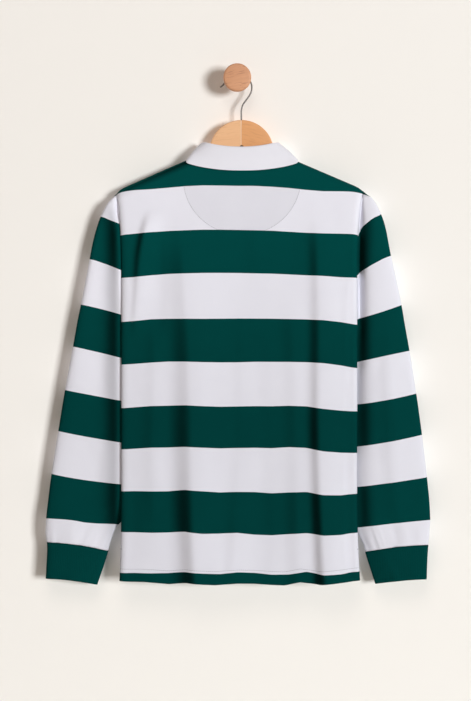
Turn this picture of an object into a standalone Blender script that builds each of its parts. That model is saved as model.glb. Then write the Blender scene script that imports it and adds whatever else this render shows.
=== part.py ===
"""Long-sleeved striped rugby shirt on a wooden hanger, hung by its wire hook on a round wall peg.

Units are metres.  The origin is the middle of the peg's wall face, +Y points into the wall,
-Y out of it (the shirt shows its back on that side) and +Z is up.  "q" is a distance from the
body's centre line towards either sleeve, so x = BODY_X + sign * q.
"""
import math

import bmesh
import bpy
import numpy as np

MM = 0.001
SAME_POINT = 0.02 * MM      # points closer than this are one

# ---- driving sizes -------------------------------------------------------------------------
CLOTH = 1.4 * MM            # heavy cotton jersey
RIB = 2.4 * MM              # doubled rib of the cuffs
DRILL = 1.6 * MM            # cotton drill of the collar and the placket
SEAM_GAP = 0.3 * MM         # between two pieces that are sewn together
SIDE_GAP = 0.7 * MM         # at the side seams, whose rims lean a little
ARMHOLE_GAP = 1.1 * MM      # at the armholes, likewise
RIDGE_GAP = 0.7 * MM        # from the ridge to each panel's edge, whose rim leans with the slope
BODY_X = 4 * MM             # centre line of the body
HANG_Y = -26 * MM           # plane of the hook, the hanger and the shoulder ridge
SIDE_SEAM_Y = -32 * MM      # side seams, half way between the back and the front
SIGN = {"left": -1, "right": 1}

# Shoulder ridge: straight lines that fall from the neck to the sleeve heads, where they round
# down a little.
NECK_Q = 70 * MM
SHOULDER_Q = 216 * MM
RIDGE_Q = 97.8 * MM
RIDGE_Z = {"left": -144.7 * MM, "right": -143.0 * MM}
RIDGE_FALL = {"left": 0.44, "right": 0.428}
RIDGE_DROP = {"left": 5.5 * MM, "right": 3.0 * MM}      # extra fall at the shoulder end
RIDGE_DROP_FROM = 202 * MM
RIDGE_ROUND = 16 * MM       # height over which the cloth turns over the ridge

# Side folds: the cloth turns round a narrow fold at each side and goes in to the side seam.
FOLD_REACH = 12 * MM        # half ellipse of the fold, across
FOLD_RISE = {"back": 6.5 * MM, "front": 4.0 * MM}   # and from the face towards the seam
AT_FOLD = 0.5               # wrap that ends a panel on the outermost line of the fold
AT_SEAM = 2.0               # wrap that ends a panel on the side seam
DROOP_POWER = 2.2           # how late the rows bend down towards the sides
LAST_COLUMN = 0.007         # share of a row in its narrow last column, which aims at the seam
FACE_COLUMNS = {"back": 14, "front": 10}    # from the centre line to the side fold
WRAP_COLUMNS = 4            # and round the fold to the side seam
COLUMN_CROWDING = 1.3       # above 1 the columns stand closer towards the side folds
FINE_FACE, FINE_FOLD = 90, 24       # points of the polylines that the columns are taken from

# Body rows from neck to hem, in mm: height at each side edge, at the middle of the back and of
# the front, and how far each panel wraps round the side fold.  Rows of the shoulder give the
# distance q along the ridge instead of the side heights.
SHOULDER_COLUMNS = ("q", "z_back", "z_front")
SHOULDER_ROWS = [
    (70, -150, -200),
    (104, -162, -209),
    (140, -172, -218),
    (180, -181, -226),
    (208, -190, -233),
    (216, -193, -237),
]
SIDE_COLUMNS = ("z_left", "z_right", "z_back", "z_front", "wrap")
SIDE_ROWS = [
    (-207, -200, -197, -241, AT_FOLD),
    (-220, -213, -210, -251, AT_FOLD),
    (-246, -240, -237, -269, AT_FOLD),
    (-276, -274, -267, -290, AT_FOLD),
    (-313, -312, -305, -318, AT_FOLD),
    (-350, -350, -342, -348, AT_FOLD),
    (-388, -390, -382, -384, AT_FOLD),
    (-417, -421, -412, -412, AT_FOLD),
    (-445, -450, -440, -440, AT_SEAM),
    (-472, -478, -469, -469, AT_SEAM),
    (-501, -507, -498, -498, AT_SEAM),
    (-577, -583, -576, -576, AT_SEAM),
    (-649, -655, -648, -648, AT_SEAM),
    (-722, -727, -724, -724, AT_SEAM),
    (-792, -794, -795, -795, AT_SEAM),
    (-828, -828, -831, -831, AT_SEAM),
    (-863, -861, -865, -865, AT_SEAM),
    (-879, -878, -883, -883, AT_SEAM),
]

# How the body's form changes with height, in mm: side edges, depth of the back and the front
# from the hanger's plane, and how far the side seam lies inside the side edge.
FORM_COLUMNS = ("z", "q_left", "q_right", "deep_back", "deep_front", "tuck")
FORM_ROWS = [
    (-130, 216, 216, 15.5, 10.0, 30),
    (-200, 216, 216, 17.5, 10.5, 30),
    (-215, 213, 213, 18.5, 11.0, 30),
    (-245, 210, 209, 21.0, 11.8, 30),
    (-300, 207, 206, 25.0, 13.0, 30),
    (-380, 206, 205, 29.0, 14.5, 32),
    (-450, 206, 205, 31.0, 15.5, 34),
    (-600, 206, 205, 32.0, 16.5, 32),
    (-750, 206, 205, 33.0, 17.0, 27),
    (-830, 207, 207, 34.0, 17.0, 21),
    (-883, 209, 210, 34.5, 17.0, 18),
]

# Long soft folds: x, height, depth in mm at the upper and the lower end, and half width to the
# left and to the right.  A positive depth is a trough, pressed in towards the hollow of the body,
# and a negative one is a ridge.
CREASE_COLUMNS = ("x_top", "z_top", "deep_top", "x_low", "z_low", "deep_low", "half_left",
                  "half_right")
CREASE_RAMP = 0.25          # share of a fold's length over which it starts, and over which it ends
BACK_CREASES = [
    (-94, -290, -3.5, -66, -880, -14.5, 22, 60),
    (137, -262, -4.0, 152, -880, -13.5, 14, 40),
    (15, -420, -1.2, -6, -880, -3.4, 16, 30),
    (97, -420, -1.4, 112, -880, -1.6, 16, 28),
]
FRONT_CREASES = [
    (-140, -320, 1, -128, -880, 6, 15, 15),
    (-70, -430, -1, -64, -880, -3, 15, 15),
    (-20, -470, 1, -14, -880, 5, 16, 16),
    (92, -330, 1, 84, -880, 6, 15, 15),
    (150, -420, 1, 146, -880, 4, 12, 12),
]

# Sleeve outlines, in mm, at rows that run from the inner end down across to the outer end:
# heights of both ends, q of the outer edge, and q of the inner edge below the armhole.
SLEEVE_COLUMNS = ("z_in", "z_out", "q_out", "q_nose")
SLEEVE_ROWS = {
    "left": [
        (-203, -204, 219, 216),
        (-222, -216, 229, 213),
        (-255, -241, 243, 209),
        (-296, -280, 255.5, 207.5),
        (-336, -318, 263, 206),
        (-415, -397, 278, 176),
        (-445, -426, 284, 176),
        (-491, -471, 292, 180),
        (-566, -547, 306, 182),
        (-638, -620, 318, 186),
        (-711, -696, 330, 192),
        (-750, -736, 335, 198),
        (-775, -764, 338, 207),
        (-792, -781, 339, 221),
        (-811, -799, 339, 228),
        (-829, -816, 337, 232),
        (-888, -877, 339, 251),
    ],
    "right": [
        (-197.5, -198.5, 219, 216),
        (-215, -208, 230.5, 213),
        (-262, -241, 249, 209),
        (-342, -311, 265, 205),
        (-424, -399, 283.5, 175),
        (-450, -426, 288, 175),
        (-498, -479, 297.5, 179),
        (-572, -555, 309.5, 182),
        (-645, -628, 319.5, 185),
        (-716, -701, 328, 191),
        (-762, -749, 332.5, 197),
        (-785, -775, 333.5, 203),
        (-803, -791, 332.5, 211),
        (-817, -805, 331.5, 218),
        (-831, -818, 330, 222),
        (-887, -878, 327, 240),
    ],
}

# Sleeve sections, in mm, by the height of their inner end: nearest and farthest y, and the
# valleys on both faces beside the body, which lie "inset" inside the body's side edge.
SECTION_COLUMNS = ("z_in", "y_near", "y_far", "y_valley_near", "y_valley_far",
                   "inset_near", "inset_far")
SECTION_ROWS = [
    (-200, -33.0, -19.0, -32.0, -20.0, -2, -4),
    (-222, -37.5, -16.0, -34.5, -18.0, -3, -5),
    (-255, -42.0, -13.5, -36.0, -17.0, -2, -5),
    (-300, -45.0, -12.0, -36.0, -16.5, 0, -5),
    (-350, -47.0, -11.5, -37.0, -16.5, 2, -5),
    (-390, -48.0, -11.5, -38.0, -17.0, 5, -5),
    (-420, -48.0, -11.0, -38.0, -20.0, 10, -4),
    (-448, -48.0, -10.5, -38.0, -26.0, 22, 20),
    (-500, -48.0, -10.5, -38.0, -26.0, 17, 17),
    (-600, -48.0, -11.0, -38.5, -25.5, 14, 14),
    (-700, -48.0, -11.5, -39.0, -25.0, 8, 8),
    (-780, -47.0, -13.0, -41.0, -20.0, -14, -14),
    (-830, -44.0, -16.0, -39.0, -21.0, -31, -31),
    (-890, -44.0, -16.0, -39.0, -21.0, -50, -50),
]
SLEEVE_BEND = 2.0           # how late a sleeve row bends down towards the body
BULGE = (0.32, 0.76)        # where a sleeve section is thickest, as parts of its visible width
BULGE_FLAT = 0.12           # and how much its outer thick point gives of that thickness
NOSE_SHARE = 0.36           # how deep its outer fold lies, from the near wall to the far one
ARMHOLE_LEAD = 8 * MM       # straight lead of a sleeve's section on to the armhole seam
HEAD_ROWS = 3               # body rows whose edges the top row of a sleeve follows
GATHER_ROWS = 3             # rows of the sleeve drawn in above the cuff,
GATHER_HEIGHT = 60 * MM     # and the least height they take
CUFF_ROWS = 4
SLEEVE_STEPS = (3, 2, 2, 2, 2, 2, 2, 3)     # columns between the nine points of a section

# Collar: half table from the middle of the back round to the front, in mm.  The cloth stands
# up from the neck seam, turns over at the fold and falls to its outer edge.
COLLAR_COLUMNS = ("seam_q", "fold_q", "fold_y", "fold_z", "edge_q", "edge_y", "edge_z")
COLLAR_BACK_ROWS = [
    (0, 0, -44.0, -121.0, 0, -47.5, -163.5),
    (22, 21, -43.6, -120.2, 28, -47.4, -162.8),
    (43, 41, -42.2, -117.6, 56, -46.6, -159.8),
    (60, 57, -38.6, -114.0, 81, -46.0, -155.6),
    (67, 64, -33.0, -112.4, 97, -45.2, -150.0),
]
COLLAR_RIDGE_ROW = (70, 67.6, -26.0, -112.0, 94, -30.5, -137.6)
COLLAR_FRONT_ROWS = [
    (67, 65.5, -19.5, -113.5, 96, -17.0, -142.0),
    (61, 60, -14.6, -121.0, 97, -12.2, -163.0),
    (49, 48.5, -12.2, -138.0, 89, -10.8, -191.0),
    (34, 33, -11.4, -158.0, 77, -10.2, -218.0),
    (18, 17, -11.0, -176.0, 62, -9.8, -240.0),
    (5, 4.5, -10.8, -186.0, 46, -9.6, -254.0),
]
COLLAR_SHIFT = (0.0, 2.0, 4.5)      # how far its seam, fold and edge sit right of the body
COLLAR_TURN = 2.4 * MM              # radius of the turn at the fold
COLLAR_LIFT = 1.4 * MM              # of its seam above the panels' neck edge
COLLAR_SPRING = 1.4 * MM            # how far the turned-down part bulges out at its middle
COLLAR_STEPS = (2, 1, 1, 2, 2)      # columns between the six points of a section

# Facing of the back neck and placket of the front, laid on the panels.
LAYER = CLOTH / 2 + SEAM_GAP        # from the middle of a panel to the face of what lies on it
MOON_X, MOON_Z = 8.4 * MM, -175 * MM
MOON_HALF_WIDTH, MOON_HALF_HEIGHT = 103 * MM, 95 * MM
MOON_TOP = -158 * MM
MOON_CLOTH = 1.0 * MM
MOON_COLUMNS = 13
MOON_ROWS = (0.0, 0.2, 0.4, 0.58, 0.74, 0.86, 0.95, 0.99)   # heights as parts of the whole
PLACKET_WIDTH = 32 * MM
PLACKET_TOP = -204 * MM
PLACKET_LOW = -366 * MM
SLIT_LOW = -346 * MM
SLIT_MARGIN = 2 * MM                # the slit's last edge may end this far below SLIT_LOW
PLACKET_COLUMNS, PLACKET_ROWS = 5, 8
BUTTON_RADIUS = 6.5 * MM
BUTTON_THICK = 2.2 * MM
BUTTON_SIDES = 20
BUTTON_HEIGHTS = (-222 * MM, -280 * MM, -338 * MM)

# Hanger: two halves of flat wood that meet under the hook.
HANGER_X = 7.5 * MM
HANGER_THICK = 12 * MM
HANGER_EDGE = 2.5 * MM              # radius of its rounded edges
CROWN_TOP = -71.5 * MM
CROWN_RADIUS = 56.5 * MM
CROWN_LAST = math.radians(14)       # the crown's arc stops here, above the horizontal
ARM_BELOW_RIDGE = 6.5 * MM
ARM_TOP = [(62, 2.5), (78, 0), (120, 0), (160, 0), (190, 0)]    # reach and drop of the top edge
ARM_END = [(197, 2), (199, 9), (196, 16)]                       # and of the rounded end
ARM_UNDER = [(187, 21), (159, 28), (109, 35), (60, 40)]         # and of the underside
CROWN_FOOT = -168 * MM
CROWN_FOOT_REACH = 24 * MM
CROWN_POINTS = 15

# Hook: wire from the crown up, over the peg's stem and out to its tip, as x and z in mm.
WIRE_RADIUS = 1.35 * MM
WIRE_STEPS = 4                      # between two points of the route
HOOK_ROUTE = [
    (7.3, -71.1), (7.2, -62.0), (7.5, -53.5), (10.0, -44.5), (15.8, -36.0), (21.6, -28.0),
    (25.2, -19.0), (25.2, -9.0), (20.6, 1.0), (12.0, 7.6), (2.0, 10.1), (-8.0, 8.4),
    (-15.6, 3.0), (-20.8, -4.0), (-25.2, -9.8), (-30.0, -13.8),
]

# Peg: turned profile from the wall to the crown of the head, as distance from the wall and
# radius in mm.
PEG_SIDES = 32
PEG_PROFILE = [
    (0, 8), (33, 8), (36, 8.6), (38.5, 10.5), (40, 14), (41, 20), (42.2, 22.9), (44, 24.2),
    (46, 24.5), (52, 24.5), (54, 23.9), (55.2, 22.6), (55.8, 20), (56.4, 10), (56.5, 4),
]


# ---- curves and tables ----------------------------------------------------------------------
def table(names, rows):
    """Columns of a table by name, in metres (or plain numbers for "wrap")."""
    columns = {}
    for index, name in enumerate(names):
        unit = 1.0 if name == "wrap" else MM
        columns[name] = np.array([row[index] for row in rows], float) * unit
    return columns


def smooth(at, xs, ys):
    """Cubic curve through (xs, ys), flat beyond both ends; xs may rise or fall."""
    if xs[0] > xs[-1]:
        xs, ys = xs[::-1], ys[::-1]
    slopes = np.gradient(ys, xs)
    at = np.clip(np.asarray(at, float), xs[0], xs[-1])
    left = np.clip(np.searchsorted(xs, at, side="right") - 1, 0, len(xs) - 2)
    span = xs[left + 1] - xs[left]
    t = (at - xs[left]) / span
    rise = ys[left + 1] - ys[left]
    start = slopes[left] * span
    end = slopes[left + 1] * span
    return (ys[left] + start * t + (3 * rise - 2 * start - end) * t ** 2
            + (start + end - 2 * rise) * t ** 3)


def along(points, fractions):
    """Points at the given fractions of a polyline's length."""
    points = np.asarray(points, float)
    steps = np.linalg.norm(np.diff(points, axis=0), axis=1)
    length = np.concatenate([[0.0], np.cumsum(steps)])
    wanted = np.asarray(fractions) * length[-1]
    return np.column_stack([np.interp(wanted, length, points[:, k])
                            for k in range(points.shape[1])])


def through(controls, before, after, steps):
    """Smooth curve through control points, in the given number of steps between each pair.

    The points "before" and "after" only set the slopes at the ends.
    """
    points = np.vstack([before, controls, after])
    out = []
    for i, count in enumerate(steps, start=1):
        a, b, c, d = points[i - 1:i + 3]
        t = np.linspace(0, 1, count, endpoint=False)[:, None]
        out.append(0.5 * (2 * b + (c - a) * t + (2 * a - 5 * b + 4 * c - d) * t ** 2
                          + (3 * b - 3 * c + d - a) * t ** 3))
    out.append(points[-2][None, :])
    return np.vstack(out)


FORM = table(FORM_COLUMNS, FORM_ROWS)
SECTION = table(SECTION_COLUMNS, SECTION_ROWS)
OUTLINE = {side: table(SLEEVE_COLUMNS, rows) for side, rows in SLEEVE_ROWS.items()}


def form(name, z):
    """One column of the body's form at height z."""
    return smooth(z, FORM["z"], FORM[name])


# ---- the body --------------------------------------------------------------------------------
def ridge_z(side, q):
    """Height of the shoulder ridge; level inside the neck."""
    end = np.maximum(q - RIDGE_DROP_FROM, 0) / (SHOULDER_Q - RIDGE_DROP_FROM)
    straight_part = RIDGE_FALL[side] * (np.maximum(q, NECK_Q) - RIDGE_Q)
    return RIDGE_Z[side] - straight_part - RIDGE_DROP[side] * end ** 2.5


def over_ridge(below):
    """0 on the ridge, 1 where the cloth hangs clear of it: a quarter circle."""
    part = np.clip(below / RIDGE_ROUND, 0, 1)
    return np.sqrt(1 - (1 - part) ** 2)


def crease_depth(creases, x, z):
    """Sum of the long folds at a place: positive is pressed in."""
    total = np.zeros(np.broadcast(x, z).shape)
    columns = table(CREASE_COLUMNS, creases)
    for k in range(len(creases)):
        part = (columns["z_top"][k] - z) / (columns["z_top"][k] - columns["z_low"][k])
        middle = columns["x_top"][k] + (columns["x_low"][k] - columns["x_top"][k]) * part
        half = np.where(x < middle, columns["half_left"][k], columns["half_right"][k])
        deep = columns["deep_top"][k] + (columns["deep_low"][k] - columns["deep_top"][k]) * part
        start = np.clip(part / CREASE_RAMP + 0.5, 0, 1)
        end = np.clip((1 - part) / CREASE_RAMP + 1, 0, 1)
        total += (deep * start ** 2 * (3 - 2 * start) * end
                  * np.exp(-((x - middle) / half) ** 2))
    return total


def face_y(face, side, q, z):
    """y of the middle of the cloth on the open face of the back or the front."""
    outward = -1 if face == "back" else 1
    creases = BACK_CREASES if face == "back" else FRONT_CREASES
    bend = over_ridge(ridge_z(side, q) - z)
    x = BODY_X + SIGN[side] * q
    inside_edge = np.clip((form("q_" + side, z) - FOLD_REACH - q) / FOLD_REACH, 0, 1)
    pressed = crease_depth(creases, x, z) * bend * inside_edge
    return HANG_Y + outward * (form("deep_" + face, z) * bend - pressed)


def body_rows(side, face):
    """Edge q, edge height, middle height and wrap of each row, from neck to hem."""
    shoulder = table(SHOULDER_COLUMNS, SHOULDER_ROWS)
    below = table(SIDE_COLUMNS, SIDE_ROWS)
    rows = []
    for q, z_mid in zip(shoulder["q"], shoulder["z_" + face]):
        rows.append((q, float(ridge_z(side, q)), z_mid, AT_FOLD))
    for z, z_mid, wrap in zip(below["z_" + side], below["z_" + face], below["wrap"]):
        rows.append((float(form("q_" + side, z)), z, z_mid, wrap))
    return rows


def half_section(side, face, row):
    """Fine polylines (x, y, z) of a row: centre line to fold, and fold to the panel's edge."""
    edge_q, edge_z, mid_z, wrap = row
    inward = 1 if face == "back" else -1
    rise = FOLD_RISE[face] * over_ridge(ridge_z(side, edge_q) - edge_z)
    flat_q = np.linspace(0, edge_q - FOLD_REACH, FINE_FACE)
    turn = np.linspace(0, math.pi / 2, FINE_FOLD)[1:]
    q = np.concatenate([flat_q, edge_q - FOLD_REACH * (1 - np.sin(turn))])
    z = mid_z + (edge_z - mid_z) * (q / edge_q) ** DROOP_POWER
    y = face_y(face, side, q, z)
    y[len(flat_q):] += inward * rise * (1 - np.cos(turn))
    outer = np.column_stack([BODY_X + SIGN[side] * q, y, z])
    turn = np.linspace(math.pi / 2, math.pi * min(wrap, 1), FINE_FOLD)
    bend = np.linspace(0, math.pi / 2 * max(wrap - 1, 0), FINE_FOLD)
    tuck = float(form("tuck", edge_z)) - FOLD_REACH
    fold_y = y[-1] - inward * rise * np.cos(turn)
    lead = SIDE_SEAM_Y - inward * SIDE_GAP / 2 - fold_y[-1]
    q = np.concatenate([edge_q - FOLD_REACH * (1 - np.sin(turn)),
                        edge_q - FOLD_REACH * (1 - math.sin(turn[-1])) - tuck * np.sin(bend)])
    y = np.concatenate([fold_y, fold_y[-1] + lead * (1 - np.cos(bend))])
    inner = np.column_stack([BODY_X + SIGN[side] * q, y, np.full(len(q), edge_z)])
    return outer, inner


def body_grid(face):
    """Rows of points across a body panel, left edge to right edge."""
    part = np.linspace(0, 1, FACE_COLUMNS[face])
    spread = np.append((1 - (1 - part) ** COLUMN_CROWDING) * (1 - LAST_COLUMN), 1.0)
    wrap_spread = np.linspace(0, 1, WRAP_COLUMNS)
    wrap_spread = np.append(wrap_spread * (1 - WRAP_COLUMNS * LAST_COLUMN), 1.0)[1:]
    grid = []
    for rows in zip(body_rows("left", face), body_rows("right", face)):
        halves = []
        for side, row in zip(SIGN, rows):
            outer, inner = half_section(side, face, row)
            halves.append(np.vstack([along(outer, spread), along(inner, wrap_spread)]))
        grid.append(np.vstack([halves[0][:0:-1], halves[1]]))
    grid = np.array(grid)
    inset = RIDGE_GAP if face == "front" else -RIDGE_GAP
    grid[:len(SHOULDER_ROWS), :WRAP_COLUMNS + 1, 1] += inset
    grid[:len(SHOULDER_ROWS), -WRAP_COLUMNS - 1:, 1] += inset
    return grid


def panel_edge(side, face):
    """Edge points of a body panel, one for each row from the shoulder's end to the underarm."""
    rows = body_rows(side, face)
    first = len(SHOULDER_ROWS) - 1
    last = first + 1 + [row[-1] for row in SIDE_ROWS].index(AT_SEAM)
    return np.array([half_section(side, face, row)[1][-1] for row in rows[first:last + 1]])


# ---- sleeves ---------------------------------------------------------------------------------
def sleeve_controls(side, z_in, back_edge=None, front_edge=None):
    """Nine points (q, y) round a sleeve's section, from its inner seam by the near face."""
    outline = OUTLINE[side]
    values = {name: float(smooth(z_in, SECTION["z_in"], SECTION[name])) for name in SECTION_COLUMNS}
    q_out = float(smooth(z_in, outline["z_in"], outline["q_out"]))
    q_edge = float(form("q_" + side, z_in))
    width = q_out - max(q_edge, q_edge - values["inset_near"])
    middle = values["y_near"] + NOSE_SHARE * (values["y_far"] - values["y_near"])
    inner = [q_out - width * (1 - part) for part in BULGE]
    if back_edge is None:
        nose = float(smooth(z_in, outline["z_in"], outline["q_nose"]))
        first = last = (nose, (values["y_valley_near"] + values["y_valley_far"]) / 2)
    else:
        first, last = back_edge, front_edge
    return np.array([
        first,
        (q_edge - values["inset_near"], values["y_valley_near"]),
        (inner[0], values["y_near"]),
        (inner[1], values["y_near"] + BULGE_FLAT * (middle - values["y_near"])),
        (q_out, middle),
        (inner[1], values["y_far"] + BULGE_FLAT * (middle - values["y_far"])),
        (inner[0], values["y_far"]),
        (q_edge - values["inset_far"], values["y_valley_far"]),
        last,
    ])


def place_section(side, z_in, section):
    """Heights along a sleeve section: it falls from the outer edge towards the body."""
    outline = OUTLINE[side]
    z_out = float(smooth(z_in, outline["z_in"], outline["z_out"]))
    q_out = section[:, 0].max()
    q_edge = max(float(form("q_" + side, z_in)), section[:, 0].min())
    part = np.clip((q_out - section[:, 0]) / (q_out - q_edge), 0, 1)
    z = z_out + (z_in - z_out) * part ** SLEEVE_BEND
    return np.column_stack([BODY_X + SIGN[side] * section[:, 0], section[:, 1], z])


def open_section(side, z_in, back_edge, front_edge):
    """Row beside the armhole: from the back's edge round the outside to the front's edge."""
    ends = []
    for edge, inward in ((back_edge, 1), (front_edge, -1)):
        q = abs(edge[0] - BODY_X)
        ends.append(np.array([q + SEAM_GAP, edge[1] + inward * ARMHOLE_GAP]))
    controls = sleeve_controls(side, z_in, ends[0], ends[1])
    before = controls[0] - (0, ARMHOLE_LEAD)
    after = controls[-1] + (0, ARMHOLE_LEAD)
    return place_section(side, z_in, through(controls, before, after, SLEEVE_STEPS))


def closed_section(side, z_in):
    """Closed ring below the armhole; its first and last points are the same."""
    controls = sleeve_controls(side, z_in)
    section = through(controls, controls[-2], controls[1], SLEEVE_STEPS)
    return place_section(side, z_in, section)


def sleeve_grid(side, ring_heights):
    """Rows of a sleeve from the armhole to the cuff, and how many of them are open."""
    back, front = panel_edge(side, "back"), panel_edge(side, "front")
    head = np.vstack([back[HEAD_ROWS - 1::-1], front[:HEAD_ROWS]])
    head[:, 0] += SIGN[side] * ARMHOLE_GAP
    head[:HEAD_ROWS - 1, 1] += ARMHOLE_GAP
    head[HEAD_ROWS + 1:, 1] -= ARMHOLE_GAP
    grid = [along(head, np.linspace(0, 1, sum(SLEEVE_STEPS) + 1))]
    for back_edge, front_edge in zip(back[HEAD_ROWS:-1], front[HEAD_ROWS:-1]):
        grid.append(open_section(side, back_edge[2], back_edge, front_edge))
    open_rows = len(grid)
    for z_in in ring_heights:
        grid.append(closed_section(side, z_in))
    return np.array(grid), open_rows


# ---- meshes ----------------------------------------------------------------------------------
def material(name, colour, roughness, metallic=0.0):
    """A Principled material."""
    made = bpy.data.materials.new(name)
    made.use_nodes = True
    shader = made.node_tree.nodes["Principled BSDF"]
    shader.inputs["Base Color"].default_value = (*colour, 1.0)
    shader.inputs["Roughness"].default_value = roughness
    shader.inputs["Metallic"].default_value = metallic
    return made


def add_object(name, mesh, surface):
    """Link a mesh to the scene as a named object, shaded smooth."""
    mesh.shade_smooth()
    mesh.set_sharp_from_angle(angle=math.radians(50))
    made = bpy.data.objects.new(name, mesh)
    made.data.materials.append(surface)
    bpy.context.scene.collection.objects.link(made)
    return made


def thicken(made, thickness):
    """Give a sheet its thickness, half of it on each side."""
    solidify = made.modifiers.new("thickness", "SOLIDIFY")
    solidify.thickness = thickness
    solidify.offset = 0.0
    solidify.use_even_offset = False
    return made


def sheet(name, grid, thickness, surface, open_rows=None):
    """Cloth wall from rows of points; rows from open_rows on are closed rings."""
    rows, columns = grid.shape[:2]
    open_rows = rows if open_rows is None else open_rows
    points, index = [], np.zeros((rows, columns), int)
    for row in range(rows):
        for column in range(columns):
            if row >= open_rows and column == columns - 1:
                index[row, column] = index[row, 0]
                continue
            index[row, column] = len(points)
            points.append(tuple(grid[row, column]))
    faces = []
    for row in range(rows - 1):
        for column in range(columns - 1):
            corners = (index[row, column], index[row, column + 1],
                       index[row + 1, column + 1], index[row + 1, column])
            faces.append(tuple(dict.fromkeys(int(corner) for corner in corners)))
    mesh = bpy.data.meshes.new(name)
    mesh.from_pydata(points, [], [face for face in faces if len(face) > 2])
    weld(mesh)
    return thicken(add_object(name, mesh, surface), thickness)


def weld(mesh):
    """Join the points that rows share where a column has no width."""
    made = bmesh.new()
    made.from_mesh(mesh)
    bmesh.ops.remove_doubles(made, verts=made.verts, dist=SAME_POINT)
    made.to_mesh(mesh)
    made.free()


def build_body(surface):
    """Back and front panels; the front is slit down from its neck for the placket."""
    sheet("back_panel", body_grid("back"), CLOTH, surface)
    made = sheet("front_panel", body_grid("front"), CLOTH, surface)
    cut_slit(made.data)


def cut_slit(mesh):
    """Open the front along its middle column, from the neck to the foot of the placket."""
    made = bmesh.new()
    made.from_mesh(mesh)

    def on_slit(vert, low):
        return abs(vert.co.x - BODY_X) < SAME_POINT and vert.co.z > low

    middle = [edge for edge in made.edges
              if all(on_slit(vert, SLIT_LOW - SLIT_MARGIN) for vert in edge.verts)]
    bmesh.ops.split_edges(made, edges=middle)
    for vert in made.verts:
        if on_slit(vert, SLIT_LOW) and vert.is_boundary:
            beside = np.mean([face.calc_center_median().x for face in vert.link_faces])
            vert.co.x += math.copysign(SEAM_GAP, beside - BODY_X)
    made.to_mesh(mesh)
    made.free()


def build_sleeve(side, surface, rib):
    """One sleeve and its ribbed cuff."""
    edge_rows = table(SIDE_COLUMNS, SIDE_ROWS)
    underarm = [row[-1] for row in SIDE_ROWS].index(AT_SEAM)
    outline = OUTLINE[side]
    cuff_top, cuff_low = outline["z_in"][-2:]
    below = edge_rows["z_" + side][underarm:]
    heights = [z for z in below if z > cuff_top + GATHER_HEIGHT]
    gather = np.linspace(heights[-1], cuff_top + 2 * SEAM_GAP, GATHER_ROWS + 1)[1:]
    grid, open_rows = sleeve_grid(side, heights + list(gather))
    sheet("sleeve_" + side, grid, CLOTH, surface, open_rows)
    rings = [closed_section(side, z) for z in np.linspace(cuff_top - SEAM_GAP, cuff_low, CUFF_ROWS)]
    sheet("cuff_" + side, np.array(rings), RIB, rib, 0)


def collar_stations():
    """Neck seam, fold and outer edge of the collar, from one front end round to the other."""
    back_z, front_z = (rows * MM for rows in SHOULDER_ROWS[0][1:])
    halves = {}
    for side in SIGN:
        stations = []
        for face, rows in (("back", COLLAR_BACK_ROWS + [COLLAR_RIDGE_ROW]),
                           ("front", COLLAR_FRONT_ROWS)):
            z_mid = back_z if face == "back" else front_z
            for row in rows:
                at = {name: value * MM for name, value in zip(COLLAR_COLUMNS, row)}
                rise = float(ridge_z(side, NECK_Q)) - z_mid
                seam_z = z_mid + rise * (at["seam_q"] / NECK_Q) ** DROOP_POWER
                seam_y = float(face_y(face, side, at["seam_q"], seam_z))
                q = (at["seam_q"], at["fold_q"], at["edge_q"])
                x = [BODY_X + shift * MM + SIGN[side] * d for shift, d in zip(COLLAR_SHIFT, q)]
                stations.append([(x[0], seam_y, seam_z + COLLAR_LIFT),
                                 (x[1], at["fold_y"], at["fold_z"]),
                                 (x[2], at["edge_y"], at["edge_z"])])
        halves[side] = stations
    return np.array(halves["left"][::-1] + halves["right"][1:])


def collar_grid():
    """Sections of the collar: up from the seam, over the fold and down to the outer edge."""
    stations = collar_stations()
    run = np.gradient(stations[:, 1], axis=0)
    rows = []
    for (seam, fold, edge), ahead in zip(stations, run):
        up = (fold - seam) / np.linalg.norm(fold - seam)
        out = np.cross(ahead, up)
        out /= np.linalg.norm(out)
        inner = fold - COLLAR_TURN * (out + up)
        outer = fold + COLLAR_TURN * (out - up)
        middle = (outer + edge) / 2 + COLLAR_SPRING * out
        controls = np.array([seam, inner, fold, outer, middle, edge])
        rows.append(through(controls, 2 * seam - inner, 2 * edge - middle, COLLAR_STEPS))
    return np.array(rows)


def laid_on(face, xs, z, offset):
    """Points at one height on a body panel, moved out (or in, if negative) from its middle."""
    outward = -1 if face == "back" else 1
    points = []
    for x in xs:
        side = "left" if x < BODY_X else "right"
        y = float(face_y(face, side, abs(x - BODY_X), z)) + outward * offset
        points.append((x, y, z))
    return points


def build_moon(surface):
    """Half-moon facing inside the back of the neck."""
    low = MOON_Z - MOON_HALF_HEIGHT
    rows = []
    for part in MOON_ROWS:
        z = MOON_TOP + (low - MOON_TOP) * part
        below = max(MOON_Z - z, 0) / MOON_HALF_HEIGHT
        half = MOON_HALF_WIDTH * math.sqrt(1 - below ** 2)
        xs = MOON_X + half * np.linspace(-1, 1, MOON_COLUMNS)
        rows.append(laid_on("back", xs, z, -LAYER - MOON_CLOTH / 2))
    sheet("back_neck_moon", np.array(rows), MOON_CLOTH, surface)


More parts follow.
